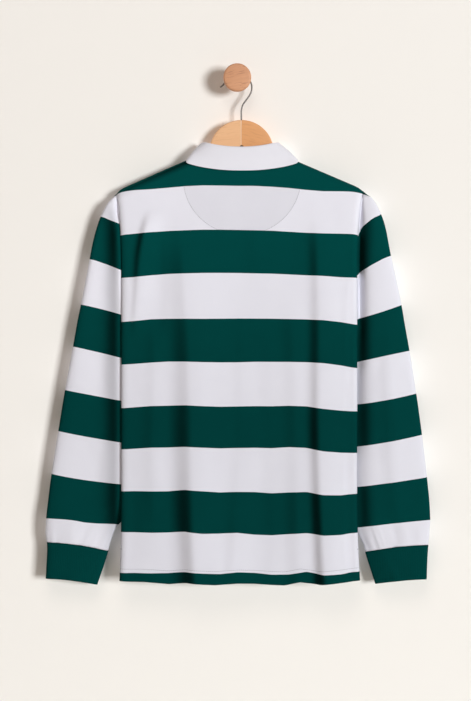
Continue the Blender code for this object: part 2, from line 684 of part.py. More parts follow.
def build_placket(surface, rubber):
    """Two strips on the slit of the front, one on each face, and the buttons."""
    xs = BODY_X + PLACKET_WIDTH * np.linspace(-0.5, 0.5, PLACKET_COLUMNS)
    heights = np.linspace(PLACKET_TOP, PLACKET_LOW, PLACKET_ROWS)
    middle = LAYER + DRILL / 2
    for name, offset in (("placket_upper", middle), ("placket_under", -middle)):
        rows = [laid_on("front", xs, z, offset) for z in heights]
        sheet(name, np.array(rows), DRILL, surface)
    for number, z in enumerate(BUTTON_HEIGHTS, start=1):
        face = laid_on("front", [BODY_X], z, LAYER + DRILL + 2 * SEAM_GAP)[0]
        made = bmesh.new()
        bmesh.ops.create_cone(made, cap_ends=True, segments=BUTTON_SIDES, radius1=BUTTON_RADIUS,
                              radius2=BUTTON_RADIUS, depth=BUTTON_THICK)
        mesh = bpy.data.meshes.new("button_%d" % number)
        made.to_mesh(mesh)
        made.free()
        button = add_object("button_%d" % number, mesh, rubber)
        button.rotation_euler = (math.pi / 2, 0, 0)
        button.location = (BODY_X, face[1] + BUTTON_THICK / 2, z)


def arm_outline(side):
    """Outline (x, z) of one half of the hanger, from the joint's top round to its foot."""
    shift = SIGN[side] * (HANGER_X - BODY_X)

    def top(reach):
        q = reach + shift
        return RIDGE_Z[side] - RIDGE_FALL[side] * (q - RIDGE_Q) - ARM_BELOW_RIDGE

    outline = [(0.0, CROWN_TOP)]
    for angle in np.linspace(math.pi / 2, CROWN_LAST, CROWN_POINTS)[1:]:
        outline.append((CROWN_RADIUS * math.cos(angle),
                        CROWN_TOP - CROWN_RADIUS * (1 - math.sin(angle))))
    for reach, drop in ARM_TOP + ARM_END + ARM_UNDER:
        outline.append((reach * MM, top(reach * MM) - drop * MM))
    outline += [(CROWN_FOOT_REACH, CROWN_FOOT), (0.0, CROWN_FOOT)]
    return [(HANGER_X + SIGN[side] * (SEAM_GAP / 2 + reach), z) for reach, z in outline]


def build_hanger(wood):
    """Two arms of flat wood, rounded along their long edges."""
    for side in SIGN:
        outline = arm_outline(side)
        made = bmesh.new()
        front = [made.verts.new((x, HANG_Y - HANGER_THICK / 2, z)) for x, z in outline]
        face = made.faces.new(front)
        pushed = bmesh.ops.extrude_face_region(made, geom=[face])
        for vert in [item for item in pushed["geom"] if isinstance(item, bmesh.types.BMVert)]:
            vert.co.y += HANGER_THICK
        bmesh.ops.recalc_face_normals(made, faces=made.faces)
        rims = [edge for edge in made.edges
                if abs(edge.verts[0].co.y - edge.verts[1].co.y) < SAME_POINT
                and not all(abs(v.co.x - HANGER_X) < MM for v in edge.verts)]
        bmesh.ops.bevel(made, geom=rims, offset=HANGER_EDGE, segments=2, affect="EDGES",
                        profile=0.5)
        mesh = bpy.data.meshes.new("hanger_arm_" + side)
        made.to_mesh(mesh)
        made.free()
        add_object("hanger_arm_" + side, mesh, wood)


def build_hook(steel):
    """Wire hook, a tube along a smooth route in the hanger's plane."""
    route = np.array(HOOK_ROUTE) * MM
    before, after = 2 * route[0] - route[1], 2 * route[-1] - route[-2]
    points = through(route, before, after, [WIRE_STEPS] * (len(route) - 1))
    curve = bpy.data.curves.new("hook", "CURVE")
    curve.dimensions = "3D"
    curve.bevel_depth = WIRE_RADIUS
    curve.bevel_resolution = 2
    curve.use_fill_caps = True
    spline = curve.splines.new("POLY")
    spline.points.add(len(points) - 1)
    for point, (x, z) in zip(spline.points, points):
        point.co = (x, HANG_Y, z, 1.0)
    made = bpy.data.objects.new("hook", curve)
    curve.materials.append(steel)
    bpy.context.scene.collection.objects.link(made)


def build_peg(wood):
    """Wall peg: a stem and a round head, turned about the Y axis."""
    made = bmesh.new()
    rings = []
    for reach, radius in PEG_PROFILE:
        angles = np.linspace(0, 2 * math.pi, PEG_SIDES, endpoint=False)
        rings.append([made.verts.new((radius * MM * math.cos(a), -reach * MM,
                                      radius * MM * math.sin(a))) for a in angles])
    for low, high in zip(rings, rings[1:]):
        for k in range(PEG_SIDES):
            after = (k + 1) % PEG_SIDES
            made.faces.new((low[k], low[after], high[after], high[k]))
    made.faces.new(rings[0])
    made.faces.new(rings[-1])
    bmesh.ops.recalc_face_normals(made, faces=made.faces)
    mesh = bpy.data.meshes.new("wall_peg")
    made.to_mesh(mesh)
    made.free()
    add_object("wall_peg", mesh, wood)


def main():
    """Clear the scene and build every piece."""
    for old in list(bpy.data.objects):
        bpy.data.objects.remove(old)
    jersey = material("jersey", (0.72, 0.72, 0.75), 0.9)
    rib = material("rib", (0.0, 0.05, 0.042), 0.9)
    drill = material("drill", (0.78, 0.78, 0.80), 0.85)
    rubber = material("rubber", (0.80, 0.80, 0.78), 0.5)
    beech = material("beech", (0.72, 0.46, 0.26), 0.5)
    steel = material("steel", (0.60, 0.60, 0.60), 0.3, 1.0)
    build_body(jersey)
    for side in SIGN:
        build_sleeve(side, jersey, rib)
    sheet("collar", collar_grid(), DRILL, drill)
    build_moon(drill)
    build_placket(drill, rubber)
    build_hanger(beech)
    build_hook(steel)
    build_peg(beech)


main()
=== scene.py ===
"""Looks for the striped rugby shirt on its hanger, hook and wall peg.

The cloth repeats the CAD part's sizes and curves at a finer step, with deeper folds.  Metres,
+Z up, the wall is the plane y = 0 and the shirt's back faces -Y.  "q" is a distance from the
body's centre line towards either sleeve.  Every cloth mesh carries a UV map "cloth_m" in metres
of cloth: u runs across, v is the level on the garment, so the bands follow the knitted rows.
"""

import math

import bmesh
import bpy
import numpy as np
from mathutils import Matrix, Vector, noise
from mathutils.bvhtree import BVHTree


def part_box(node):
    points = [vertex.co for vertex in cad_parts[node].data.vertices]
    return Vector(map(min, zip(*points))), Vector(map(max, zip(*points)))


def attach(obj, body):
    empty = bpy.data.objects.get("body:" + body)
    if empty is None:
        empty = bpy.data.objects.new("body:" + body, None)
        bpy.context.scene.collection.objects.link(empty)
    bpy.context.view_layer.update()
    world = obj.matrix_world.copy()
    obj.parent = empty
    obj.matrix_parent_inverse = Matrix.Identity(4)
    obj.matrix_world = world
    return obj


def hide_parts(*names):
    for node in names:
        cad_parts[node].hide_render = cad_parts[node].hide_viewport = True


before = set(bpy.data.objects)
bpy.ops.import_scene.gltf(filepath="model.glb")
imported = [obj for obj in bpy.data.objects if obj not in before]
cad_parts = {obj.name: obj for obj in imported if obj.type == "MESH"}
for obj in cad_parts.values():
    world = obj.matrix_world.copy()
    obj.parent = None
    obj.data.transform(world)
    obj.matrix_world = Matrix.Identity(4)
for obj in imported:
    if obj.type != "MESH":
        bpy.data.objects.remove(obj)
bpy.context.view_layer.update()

MM = 0.001

# ---- sizes repeated from the part ------------------------------------------------------------
CLOTH, RIB, DRILL = 1.4 * MM, 2.4 * MM, 1.6 * MM
SEAM_GAP, SIDE_GAP, ARMHOLE_GAP, RIDGE_GAP = 0.3 * MM, 0.5 * MM, 0.7 * MM, 0.5 * MM
BODY_X, HANG_Y, SIDE_SEAM_Y = 4 * MM, -26 * MM, -32 * MM
SIGN = {"left": -1, "right": 1}
NECK_Q, SHOULDER_Q, RIDGE_Q = 70 * MM, 216 * MM, 97.8 * MM
RIDGE_Z = {"left": -144.7 * MM, "right": -143.0 * MM}
RIDGE_FALL = {"left": 0.44, "right": 0.428}
RIDGE_DROP, RIDGE_DROP_FROM = {"left": 5.5 * MM, "right": 3.0 * MM}, 202 * MM
RIDGE_ROUND = 16 * MM
FOLD_REACH = 12 * MM
FOLD_RISE = {"back": 6.5 * MM, "front": 4.0 * MM}
AT_FOLD, AT_SEAM = 0.5, 2.0
DROOP_POWER = 2.2

SHOULDER_COLUMNS = ("q", "z_back", "z_front")
SHOULDER_ROWS = [
    (70, -150, -200), (104, -162, -209), (140, -172, -218), (180, -181, -226),
    (208, -190, -233), (216, -193, -237),
]
SIDE_COLUMNS = ("z_left", "z_right", "z_back", "z_front", "wrap")
SIDE_ROWS = [
    (-207, -200, -197, -241, 0.5), (-220, -213, -210, -251, 0.5), (-246, -240, -237, -269, 0.5),
    (-276, -274, -267, -290, 0.5), (-313, -312, -305, -318, 0.5), (-350, -350, -342, -348, 0.5),
    (-388, -390, -382, -384, 0.5), (-417, -421, -412, -412, 0.5), (-445, -450, -440, -440, 2.0),
    (-472, -478, -469, -469, 2.0), (-501, -507, -498, -498, 2.0), (-577, -583, -576, -576, 2.0),
    (-649, -655, -648, -648, 2.0), (-722, -727, -724, -724, 2.0), (-792, -794, -795, -795, 2.0),
    (-828, -828, -831, -831, 2.0), (-863, -861, -865, -865, 2.0), (-879, -878, -883, -883, 2.0),
]
FORM_COLUMNS = ("z", "q_left", "q_right", "deep_back", "deep_front", "tuck")
FORM_ROWS = [
    (-130, 216, 216, 15.5, 10.0, 30), (-200, 216, 216, 17.5, 10.5, 30),
    (-215, 213, 213, 18.5, 11.0, 30), (-245, 210, 209, 21.0, 11.8, 30),
    (-300, 207, 206, 25.0, 13.0, 30), (-380, 206, 205, 29.0, 14.5, 32),
    (-450, 206, 205, 31.0, 15.5, 34), (-600, 206, 205, 32.0, 16.5, 32),
    (-750, 206, 205, 33.0, 17.0, 27), (-830, 207, 207, 34.0, 17.0, 21),
    (-883, 209, 210, 34.5, 17.0, 18),
]
SLEEVE_COLUMNS = ("z_in", "z_out", "q_out", "q_nose")
SLEEVE_ROWS = {
    "left": [
        (-203, -204, 219, 216), (-222, -216, 229, 213), (-255, -241, 243, 209),
        (-296, -280, 255.5, 207.5), (-336, -318, 263, 206), (-415, -397, 278, 176),
        (-445, -426, 284, 176),
        (-491, -471, 292, 180), (-566, -547, 306, 182), (-638, -620, 318, 186),
        (-711, -696, 330, 192), (-750, -736, 335, 198), (-775, -764, 338, 207),
        (-792, -781, 339, 221), (-811, -799, 339, 228), (-829, -813.5, 337, 232),
        (-888, -877, 339, 251),
    ],
    "right": [
        (-197.5, -198.5, 219, 216), (-215, -208, 230.5, 213), (-262, -241, 249, 209),
        (-342, -311, 265, 205), (-424, -399, 283.5, 175), (-450, -426, 288, 175),
        (-498, -479, 297.5, 179), (-572, -555, 309.5, 182), (-645, -628, 319.5, 185),
        (-716, -701, 328, 191), (-762, -749, 332.5, 197), (-785, -775, 333.5, 203),
        (-803, -791, 332.5, 211), (-817, -805, 331.5, 218), (-831, -818, 330, 222),
        (-887, -878, 327, 240),
    ],
}
SECTION_COLUMNS = ("z_in", "y_near", "y_far", "y_valley_near", "y_valley_far",
                   "inset_near", "inset_far")
# Beside the body the near side of the sleeves lies deeper here than in the part.
SECTION_ROWS = [
    (-200, -34.5, -19.0, -33.5, -20.0, -2, -4), (-222, -39.5, -16.0, -35.0, -18.0, -3, -5),
    (-255, -43.0, -13.5, -32.0, -17.0, -5, -5), (-300, -45.0, -12.0, -29.5, -16.5, -6, -5),
    (-350, -47.0, -11.5, -30.5, -16.5, -6, -5), (-390, -48.0, -11.5, -31.5, -17.0, -6, -5),
    (-420, -48.0, -11.0, -32.5, -20.0, -6, -4), (-448, -48.0, -10.5, -33.5, -26.0, -4, 20),
    (-500, -48.0, -10.5, -33.5, -26.0, -2, 17), (-600, -48.0, -11.0, -34.0, -25.5, 0, 14),
    (-700, -48.0, -11.5, -36.0, -25.0, 2, 8), (-780, -47.0, -13.0, -41.0, -20.0, -14, -14),
    (-830, -44.0, -16.0, -39.0, -21.0, -31, -31), (-890, -44.0, -16.0, -39.0, -21.0, -50, -50),
]
SLEEVE_BEND = 2.0
BULGE = {"left": (0.36, 0.90), "right": (0.25, 0.90)}
BULGE_FLAT, NOSE_SHARE = 0.08, 0.36
# The left sleeve's open face lies further back, and the fold beside the body stays forward.
LEFT_FACE, LEFT_FOLD = 5.5 * MM, -47.5 * MM
ARMHOLE_LEAD = 8 * MM

COLLAR_COLUMNS = ("seam_q", "fold_q", "fold_y", "fold_z", "edge_q", "edge_y", "edge_z")
COLLAR_BACK_ROWS = [
    (0, 0, -44.0, -121.0, 0, -47.5, -162.2), (22, 21, -43.6, -120.2, 28, -47.4, -161.4),
    (43, 41, -42.2, -117.6, 56, -46.6, -158.4), (60, 57, -38.6, -114.0, 81, -46.0, -153.6),
    (67, 64, -33.0, -112.4, 97.5, -44.6, -147.6),
]
COLLAR_RIDGE_ROW = (70, 67.6, -26.0, -112.0, 93, -31.0, -137.6)
COLLAR_FRONT_ROWS = [
    (67, 65.5, -19.5, -113.5, 94, -17.2, -141.5), (61, 60, -14.6, -121.0, 97, -12.2, -163.0),
    (49, 48.5, -12.2, -138.0, 89, -10.8, -191.0), (34, 33, -11.4, -158.0, 77, -10.2, -218.0),
    (18, 17, -11.0, -176.0, 62, -9.8, -240.0), (5, 4.5, -10.8, -186.0, 46, -9.6, -254.0),
]
COLLAR_SHIFT = (0.0, 2.0, 4.5)
COLLAR_TURN, COLLAR_LIFT, COLLAR_SPRING = 2.4 * MM, 1.4 * MM, 1.4 * MM
COLLAR_SOFT = 0.35 * MM

LAYER = CLOTH / 2 + SEAM_GAP
MOON_X, MOON_Z = 8.4 * MM, -175 * MM
MOON_HALF_WIDTH, MOON_HALF_HEIGHT, MOON_TOP = 103 * MM, 95 * MM, -158 * MM
MOON_THICK, MOON_BEHIND, MOON_LAST = 1.0 * MM, 1.3 * MM, 0.995
PLACKET_WIDTH, PLACKET_TOP, PLACKET_LOW, SLIT_LOW = 32 * MM, -204 * MM, -366 * MM, -346 * MM
BUTTONS = 3

HANGER_X, HANGER_THICK = 7.5 * MM, 12 * MM
CROWN_TOP, CROWN_RADIUS, CROWN_LAST = -71.5 * MM, 56.5 * MM, math.radians(14)
ARM_BELOW_RIDGE, ARM_EDGE = 6.5 * MM, 2.5 * MM
ARM_TOP = [(62, 2.5), (78, 0), (120, 0), (160, 0), (190, 0)]
ARM_END = [(197, 2), (199, 9), (196, 16)]
ARM_UNDER = [(187, 21), (159, 28), (109, 35), (60, 40)]
CROWN_FOOT, CROWN_FOOT_REACH = -168 * MM, 24 * MM
WIRE_RADIUS = 1.35 * MM
HOOK_ROUTE = [
    (7.3, -71.1), (7.2, -62.0), (7.5, -53.5), (10.0, -44.5), (15.8, -36.0), (21.6, -28.0),
    (25.2, -19.0), (25.2, -9.0), (20.6, 1.0), (12.0, 7.6), (2.0, 10.1), (-8.0, 8.4),
    (-15.6, 3.0), (-20.8, -4.0), (-25.2, -9.8), (-30.0, -13.8),
]
PEG_PROFILE = [
    (0, 8), (33, 8), (36, 8.6), (38.5, 10.5), (40, 14), (41, 20), (42.2, 22.9), (44, 24.2),
    (46, 24.5), (52, 24.5), (54, 23.9), (55.2, 22.6), (55.8, 20), (56.4, 10), (56.5, 4),
]

# ---- looks: sizes of what only shows here ----------------------------------------------------
BUTTON_PROFILE = [      # share of the radius, share of the thickness
    (0.0, 0.72), (0.42, 0.72), (0.52, 0.78), (0.60, 0.95), (0.78, 1.0), (0.92, 0.93),
    (1.0, 0.70), (1.0, 0.30), (0.94, 0.08), (0.82, 0.0), (0.0, 0.0),
]
THREAD_REACH = 1.5 * MM
MOON_STITCH_HEIGHT = 100 * MM
MOON_STITCH_ARC = (-171, -9, 220)       # degrees from and to, and points
RAY_FROM, STITCH_LIFT = 0.3, 0.16 * MM
HEM_STITCH_LEVEL, VENT_TACK_LEVEL = -0.8595, -0.826
# The hanger's joint hole is a flat dark disc of painted shade, standing for the bore's end.
HOLE_X, HOLE_Z = HANGER_X + 0.4 * MM, -118.4 * MM
HOLE_HALF_WIDTH, HOLE_HALF_HEIGHT, HOLE_LIFT = 3.1 * MM, 2.4 * MM, 0.06 * MM
ROW_STEP = 4.0 * MM
SHOULDER_STEP, SLEEVE_STEP = 1.4 * ROW_STEP, 0.9 * ROW_STEP
FLAT_POINTS, TURN_POINTS = 110, 24          # fine points of a section before it is spaced evenly
FACE_STEPS, WRAP_STEPS = 56, 12
FOLD_FREE = WRAP_STEPS + 7      # columns from the edge of a panel that take no painted fold shade
SLEEVE_STEPS = (9, 9, 9, 8, 8, 9, 9, 9)
FACE_CROWD = 1.12       # power by which the columns stand closer towards the edges
RIDGE_BLEND, EDGE_BLEND = 6, 8.0        # columns over which the ridge gap and the small folds grow
CUFF_ROWS = 22
COLLAR_STEPS, COLLAR_RUN_STEPS = (9, 4, 4, 8, 8), 6
MOON_ROWS, MOON_COLUMNS = 26, 41
PLACKET_ROWS, PLACKET_COLUMNS = 48, 13
BUTTON_SIDES, PEG_SIDES, WIRE_SIDES, HOLE_SIDES = 40, 96, 16, 32
WIRE_STEPS, PEG_STEPS = 8, 3
OUTER_FOLD = sum(SLEEVE_STEPS[:4])          # column at a sleeve's outer fold, where u is 0

# Edges of the colour bands, each turning to the other colour from green at the top: the level in
# the cloth map, then the height at which the band hangs, in mm, at each place across.
BODY_BAND_X = (-212, -204, -195, -180, -150, -120, -90, -60, -30, 0, 30, 60, 90, 120, 150, 180,
               195, 204, 220)
BODY_BANDS = [
    (-190, -203.8, -200.5, -198.4, -196.4, -194.6, -192, -189.3, -187.9, -188.2, -188.7, -188.8,
     -190.3, -192.5, -195.8, -198.2, -198.4, -198.8, -199.6, -202.5),
    (-267, -277, -275.6, -274.4, -273.1, -270.4, -268.2, -267, -265.9, -266, -266.6, -267.2,
     -267.7, -269.5, -271.3, -272.6, -272.9, -273.2, -273.8, -277),
    (-342, -350.8, -350.4, -350, -349.2, -345.9, -343.5, -342.7, -341.9, -341.7, -341.8, -342.5,
     -343, -344.4, -345.9, -347.2, -349.4, -349.8, -350, -350.4),
    (-421.5, -427.6, -427.2, -426.8, -425.6, -422.5, -421.7, -421.7, -421.9, -421.6, -421.3,
     -421.4, -421.6, -422.2, -422.8, -424.2, -427.5, -430, -431.5, -433),
    (-497.5, -502, -501.6, -501.3, -500.4, -498.1, -496.3, -496.4, -497.2, -497.7, -497.6, -496.7,
     -496.8, -496.9, -497.4, -499, -502.9, -505.8, -507.2, -508.6),
    (-575, -577.8, -577.6, -577.2, -576, -573.7, -573.1, -572.1, -573.7, -574.8, -574.4, -573.9,
     -574.1, -573.2, -574.2, -578.4, -581.6, -582.6, -583, -583.4),
    (-647, -649.8, -649.4, -649.1, -648.2, -646.2, -646, -644.4, -645.8, -647.3, -646.7, -646.4,
     -647.2, -645.3, -646.6, -652.2, -654.8, -655.4, -655.6, -655.8),
    (-723.5, -722.9, -722.6, -722.3, -721.9, -722.3, -722.2, -719, -721.3, -723.7, -722.9, -723.4,
     -725.7, -724.1, -723.2, -728, -728.8, -727.4, -726.8, -726.4),
    (-795, -793.4, -793.4, -793.4, -793.4, -794.3, -793.9, -791.8, -795, -795, -794, -797.7,
     -798.8, -796.7, -794.9, -798.2, -797.4, -795.4, -794.8, -794.4),
    (-863.5, -864.6, -864.5, -864.4, -864.1, -864.9, -864.4, -861.8, -863.6, -865, -862.3, -863.8,
     -867.2, -866.9, -862, -866.8, -865.6, -863.2, -862.4, -862),
]
SLEEVE_BAND_Q = (205, 210, 217, 230, 250, 270, 290, 310, 330)
SLEEVE_BANDS = {
    "left": [
        (-203, -200, -202.3, -205.4, -211, -219, -227, -235, -243, -251),
        (-255.5, -257.5, -255.4, -252.4, -246.8, -238.4, -236, -235, -234, -233),
        (-336, -337.6, -335.4, -332.4, -327.2, -320.2, -314.5, -310.1, -307, -305),
        (-414.5, -414.8, -413.3, -411.2, -407.6, -402.5, -398, -394.2, -390.9, -388.3),
        (-490.5, -490.5, -489.2, -487.4, -484.2, -479.4, -474.8, -470.4, -466.2, -462.3),
        (-566, -565.2, -564.3, -563.1, -560.7, -557, -553.2, -549.4, -545.5, -541.5),
        (-638, -638.4, -637.6, -636.6, -634.5, -631.2, -627.7, -623.9, -619.9, -615.7),
        (-711, -710.9, -710.5, -710, -708.8, -706.7, -704.1, -700.9, -697.3, -693.1),
        (-783, -782.1, -781.8, -781.2, -780.3, -779.6, -777.9, -774.0, -772.2, -771.2),
    ],
    "right": [
        (-203, -197.6, -199.8, -202.8, -208.2, -216, -224, -232, -240, -248),
        (-262, -281, -270.5, -259.5, -247.5, -236.5, -234, -233, -242, -250),
        (-342, -346, -341.5, -336.4, -328, -317.1, -308.7, -303, -301, -300),
        (-423.5, -422.4, -421, -419.2, -415.4, -409.2, -402.4, -395, -388, -384),
        (-497.5, -498, -496.7, -495, -491.9, -487.4, -483.1, -479, -475.1, -471.5),
        (-572, -571.8, -571.1, -570.2, -568.3, -564.9, -561.2, -556.9, -552.2, -547),
        (-645, -646, -645.2, -644.2, -642.1, -638.7, -635, -631, -626.7, -622.1),
        (-716, -716.4, -715.7, -714.8, -713, -710.2, -707.4, -704.5, -701.6, -698.6),
        (-787, -788, -787.3, -786.3, -784.4, -781.7, -779.3, -777.2, -775.4, -773.8),
    ],
}

# Heights of the small folds: of the panels, of the sleeves, of the gathers above the cuffs.
BODY_WAVE, BODY_DRIFT = 1.3 * MM, 0.5 * MM
SLEEVE_WAVE, SLEEVE_SLANT, ELBOW_FOLD = 1.1 * MM, 1.2 * MM, 5.0 * MM
GATHER_PLEAT, GATHER_FINE, GATHER_COMB = 5.5 * MM, 4.5 * MM, 0.8 * MM
GATHER_BLOUSE, CUFF_WAVE = 1.6 * MM, 1.5 * MM
EDGEWISE = 0.15     # share of a sleeve's small folds that also moves it sideways

CREASE_SWAY, CREASE_RAMP = 3 * MM, 0.25     # sideways sway, and share of a fold that fades in
# Long soft folds of the body: x, height, depth at both ends in mm, and half width to the left
# and to the right.  A positive depth is a trough, a negative one a ridge.
CREASE_COLUMNS = ("x_top", "z_top", "deep_top", "x_low", "z_low", "deep_low", "half_left",
                  "half_right")
BACK_CREASES = [
    (-94, -290, -4.5, -69, -880, -15.5, 20, 55),
    (137, -262, -4.0, 152, -880, -13.5, 12, 40),
    (194, -340, -2.6, 196, -600, -1.8, 6, 10),
    (-156, -246, -6.5, -182, -420, -2.0, 7, 24),
    (-121, -275, -1.2, -122, -430, -0.9, 11, 20),
    (15, -420, -1.2, -6, -880, -3.4, 14, 30),
    (97, -420, -1.4, 112, -880, -1.6, 15, 28),
    (-146, -440, -1.1, -144, -740, -1.1, 12, 22),
]
FRONT_CREASES = [
    (-140, -320, 1, -128, -880, 6, 15, 15),
    (-70, -430, -1, -64, -880, -3, 15, 15),
    (-20, -470, 1, -14, -880, 5, 16, 16),
    (92, -330, 1, 84, -880, 6, 15, 15),
    (150, -420, 1, 146, -880, 4, 12, 12),
]
# How far the lowest rows hang below their even course, in mm, by x.
HEM_WAVE = [(-200, 0), (-160, 0.5), (-118, -2.0), (-88, 1.6), (-60, 0), (-39, -1.2), (0, 1.0),
            (30, 0), (57, -2.2), (83, -3.6), (109, 1.6), (144, -3.2), (175, -1.5), (205, 0)]
HEM_WAVE_FROM, HEM_WAVE_REACH = -0.55, 0.33     # level where it begins, and length it grows over

# Painted shade: the yarn's colour is darkened where folds turn from the key light, and beside the
# body on the sleeves.
PAINTED_FOLD_SHADE = "painted_fold_shade"       # attribute: share of painted shade at a point, 0 to 1, in the folds and in a sleeve's valley
LIGHT_SLANT = 0.65              # slant of the light across the face, sideways to inwards
LIGHT_POWER, LIGHT_LOSS = 2.2, 0.75     # how fast it is lost, and the loss that counts as all
VALLEY_AT = 14 * MM             # middle of a sleeve's valley, out from the body's side edge,
VALLEY_IN = 8 * MM              # its width towards the body
VALLEY_OUT = {"left": 16 * MM, "right": 11 * MM}        # and away from it
VALLEY_TOP, VALLEY_GROW = -200 * MM, 40 * MM    # height where it begins, and grows over

WHITE, WHITE_DEEP = (0.70, 0.71, 0.768), (0.63, 0.63, 0.70)
GREEN, GREEN_DEEP = (0.0004, 0.054, 0.050), (0.0002, 0.042, 0.039)
COLLAR_WHITE = (0.765, 0.77, 0.83)
MOON_SHADE, MOON_SHADE_PART = (0.30, 0.30, 0.33), 0.13      # the half-moon seen through the back
BLACK = (0.0, 0.0, 0.0)
PAINTED_LIGHT_SLOPE, PAINTED_LIGHT_AT_TOP = 2.5, 1.55     # share of painted light towards the top, by the level
SEEN_HEIGHT, SHIRT_DISTANCE = 1.2218, 2.943     # what the camera sees, and from how far
STITCH_TAPER, THREAD_SIDES, THREAD_TURN = (0.45, 1.0, 0.45), 6, (0.3, 0.9, 0.2)


# ---- curves and tables -----------------------------------------------------------------------
def table(names, rows):
    """Columns of a table by name, in metres (or plain numbers for "wrap")."""
    return {name: np.array([row[k] for row in rows], float) * (1.0 if name == "wrap" else MM)
            for k, name in enumerate(names)}


def smooth(at, xs, ys):
    """Cubic curve through (xs, ys), flat beyond both ends; xs may rise or fall."""
    if xs[0] > xs[-1]:
        xs, ys = xs[::-1], ys[::-1]
    slopes = np.gradient(ys, xs)
    at = np.clip(np.asarray(at, float), xs[0], xs[-1])
    left = np.clip(np.searchsorted(xs, at, side="right") - 1, 0, len(xs) - 2)
    span = xs[left + 1] - xs[left]
    t = (at - xs[left]) / span
    rise = ys[left + 1] - ys[left]
    start = slopes[left] * span
    end = slopes[left + 1] * span
    return (ys[left] + start * t + (3 * rise - 2 * start - end) * t ** 2
            + (start + end - 2 * rise) * t ** 3)


def straight(at, xs, ys):
    """Straight runs through (xs, ys); xs may rise or fall."""
    if xs[0] > xs[-1]:
        xs, ys = xs[::-1], ys[::-1]
    return np.interp(at, xs, ys)


def arc(points):
    """Length along a polyline at each of its points."""
    steps = np.linalg.norm(np.diff(points, axis=0), axis=1)
    return np.concatenate([[0.0], np.cumsum(steps)])


def along(points, fractions):
    """Points at the given fractions of a polyline's length."""
    points = np.asarray(points, float)
    length = arc(points)
    wanted = np.asarray(fractions) * length[-1]
    return np.column_stack([np.interp(wanted, length, points[:, k])
                            for k in range(points.shape[1])])


def through(controls, steps, before=None, after=None):
    """Smooth curve through control points, in the given number of steps between each pair.

    It is led in and out in a straight line, unless points before and after it are given."""
    controls = np.asarray(controls, float)
    if before is None:
        before, after = 2 * controls[0] - controls[1], 2 * controls[-1] - controls[-2]
    points = np.vstack([before, controls, after])
    out = []
    for i, count in enumerate(steps, start=1):
        a, b, c, d = points[i - 1:i + 3]
        t = np.linspace(0, 1, count, endpoint=False)[:, None]
        out.append(0.5 * (2 * b + (c - a) * t + (2 * a - 5 * b + 4 * c - d) * t ** 2
                          + (3 * b - 3 * c + d - a) * t ** 3))
    out.append(points[-2][None, :])
    return np.vstack(out)


def wander(x, z, x_size, z_size, seed):
    """Smooth noise between about -1 and 1, stretched to the given sizes."""
    x, z = np.broadcast_arrays(np.asarray(x, float), np.asarray(z, float))
    out = np.empty(x.shape)
    flat = out.ravel()
    for k, (a, b) in enumerate(zip(x.ravel(), z.ravel())):
        flat[k] = noise.noise((a / x_size, b / z_size, seed))
    return flat.reshape(x.shape)


def ease(t):
    """0 to 1 with soft ends."""
    t = np.clip(t, 0, 1)
    return t * t * (3 - 2 * t)


FORM = table(FORM_COLUMNS, FORM_ROWS)
SECTION = table(SECTION_COLUMNS, SECTION_ROWS)
OUTLINE = {side: table(SLEEVE_COLUMNS, rows) for side, rows in SLEEVE_ROWS.items()}
SHOULDER = table(SHOULDER_COLUMNS, SHOULDER_ROWS)
SIDE = table(SIDE_COLUMNS, SIDE_ROWS)
WAVE_X, WAVE_Z = np.array(HEM_WAVE, float).T * MM


def form(name, z):
    """A column of the body's form at a height."""
    return smooth(z, FORM["z"], FORM[name])


def band_level(bands, places, at, z):
    """Level in the cloth map of points across and up the hung garment."""
    levels = np.array([band[0] for band in bands], float) * MM
    heights = np.array([np.interp(at, np.array(places) * MM, np.array(band[1:]) * MM)
                        for band in bands])
    out = np.where(z > heights[0], levels[0] + z - heights[0], levels[-1] + z - heights[-1])
    for k in range(len(bands) - 1):
        part = (heights[k] - z) / (heights[k] - heights[k + 1])
        inside = (part >= 0) & (part <= 1)
        out = np.where(inside, levels[k] + (levels[k + 1] - levels[k]) * part, out)
    return out


# ---- the body's surface ------------------------------------------------------------------------
def ridge_z(side, q):
    """Height of the fold over the shoulder."""
    end = np.maximum(q - RIDGE_DROP_FROM, 0) / (SHOULDER_Q - RIDGE_DROP_FROM)
    return (RIDGE_Z[side] - RIDGE_FALL[side] * (np.maximum(q, NECK_Q) - RIDGE_Q)
            - RIDGE_DROP[side] * end ** 2.5)


def over_ridge(below):
    """Share of the cloth's full depth, rounded off just below the ridge."""
    part = np.clip(below / RIDGE_ROUND, 0, 1)
    return np.sqrt(1 - (1 - part) ** 2)


def crease_depth(creases, x, z):
    """Depth of all the long folds of a face at its points."""
    total = np.zeros(np.broadcast(x, z).shape)
    columns = table(CREASE_COLUMNS, creases)
    for k in range(len(creases)):
        part = (columns["z_top"][k] - z) / (columns["z_top"][k] - columns["z_low"][k])
        middle = columns["x_top"][k] + (columns["x_low"][k] - columns["x_top"][k]) * part
        middle = middle + CREASE_SWAY * np.sin(5.5 * part + k)
        half = np.where(x < middle, columns["half_left"][k], columns["half_right"][k])
        deep = columns["deep_top"][k] + (columns["deep_low"][k] - columns["deep_top"][k]) * part
        start = np.clip(part / CREASE_RAMP + 0.5, 0, 1)
        end = np.clip((1 - part) / CREASE_RAMP + 1, 0, 1)
        total += (deep * start ** 2 * (3 - 2 * start) * end
                  * np.exp(-((x - middle) / half) ** 2))
    return total


def face_y(face, side, q, z):
    """y of the middle of the cloth on the open face of the back or the front."""
    outward = -1 if face == "back" else 1
    creases = BACK_CREASES if face == "back" else FRONT_CREASES
    bend = over_ridge(ridge_z(side, q) - z)
    x = BODY_X + SIGN[side] * q
    inside_edge = np.clip((form("q_" + side, z) - FOLD_REACH - q) / FOLD_REACH, 0, 1)
    pressed = crease_depth(creases, x, z) * bend * inside_edge
    return HANG_Y + outward * (form("deep_" + face, z) * bend - pressed)


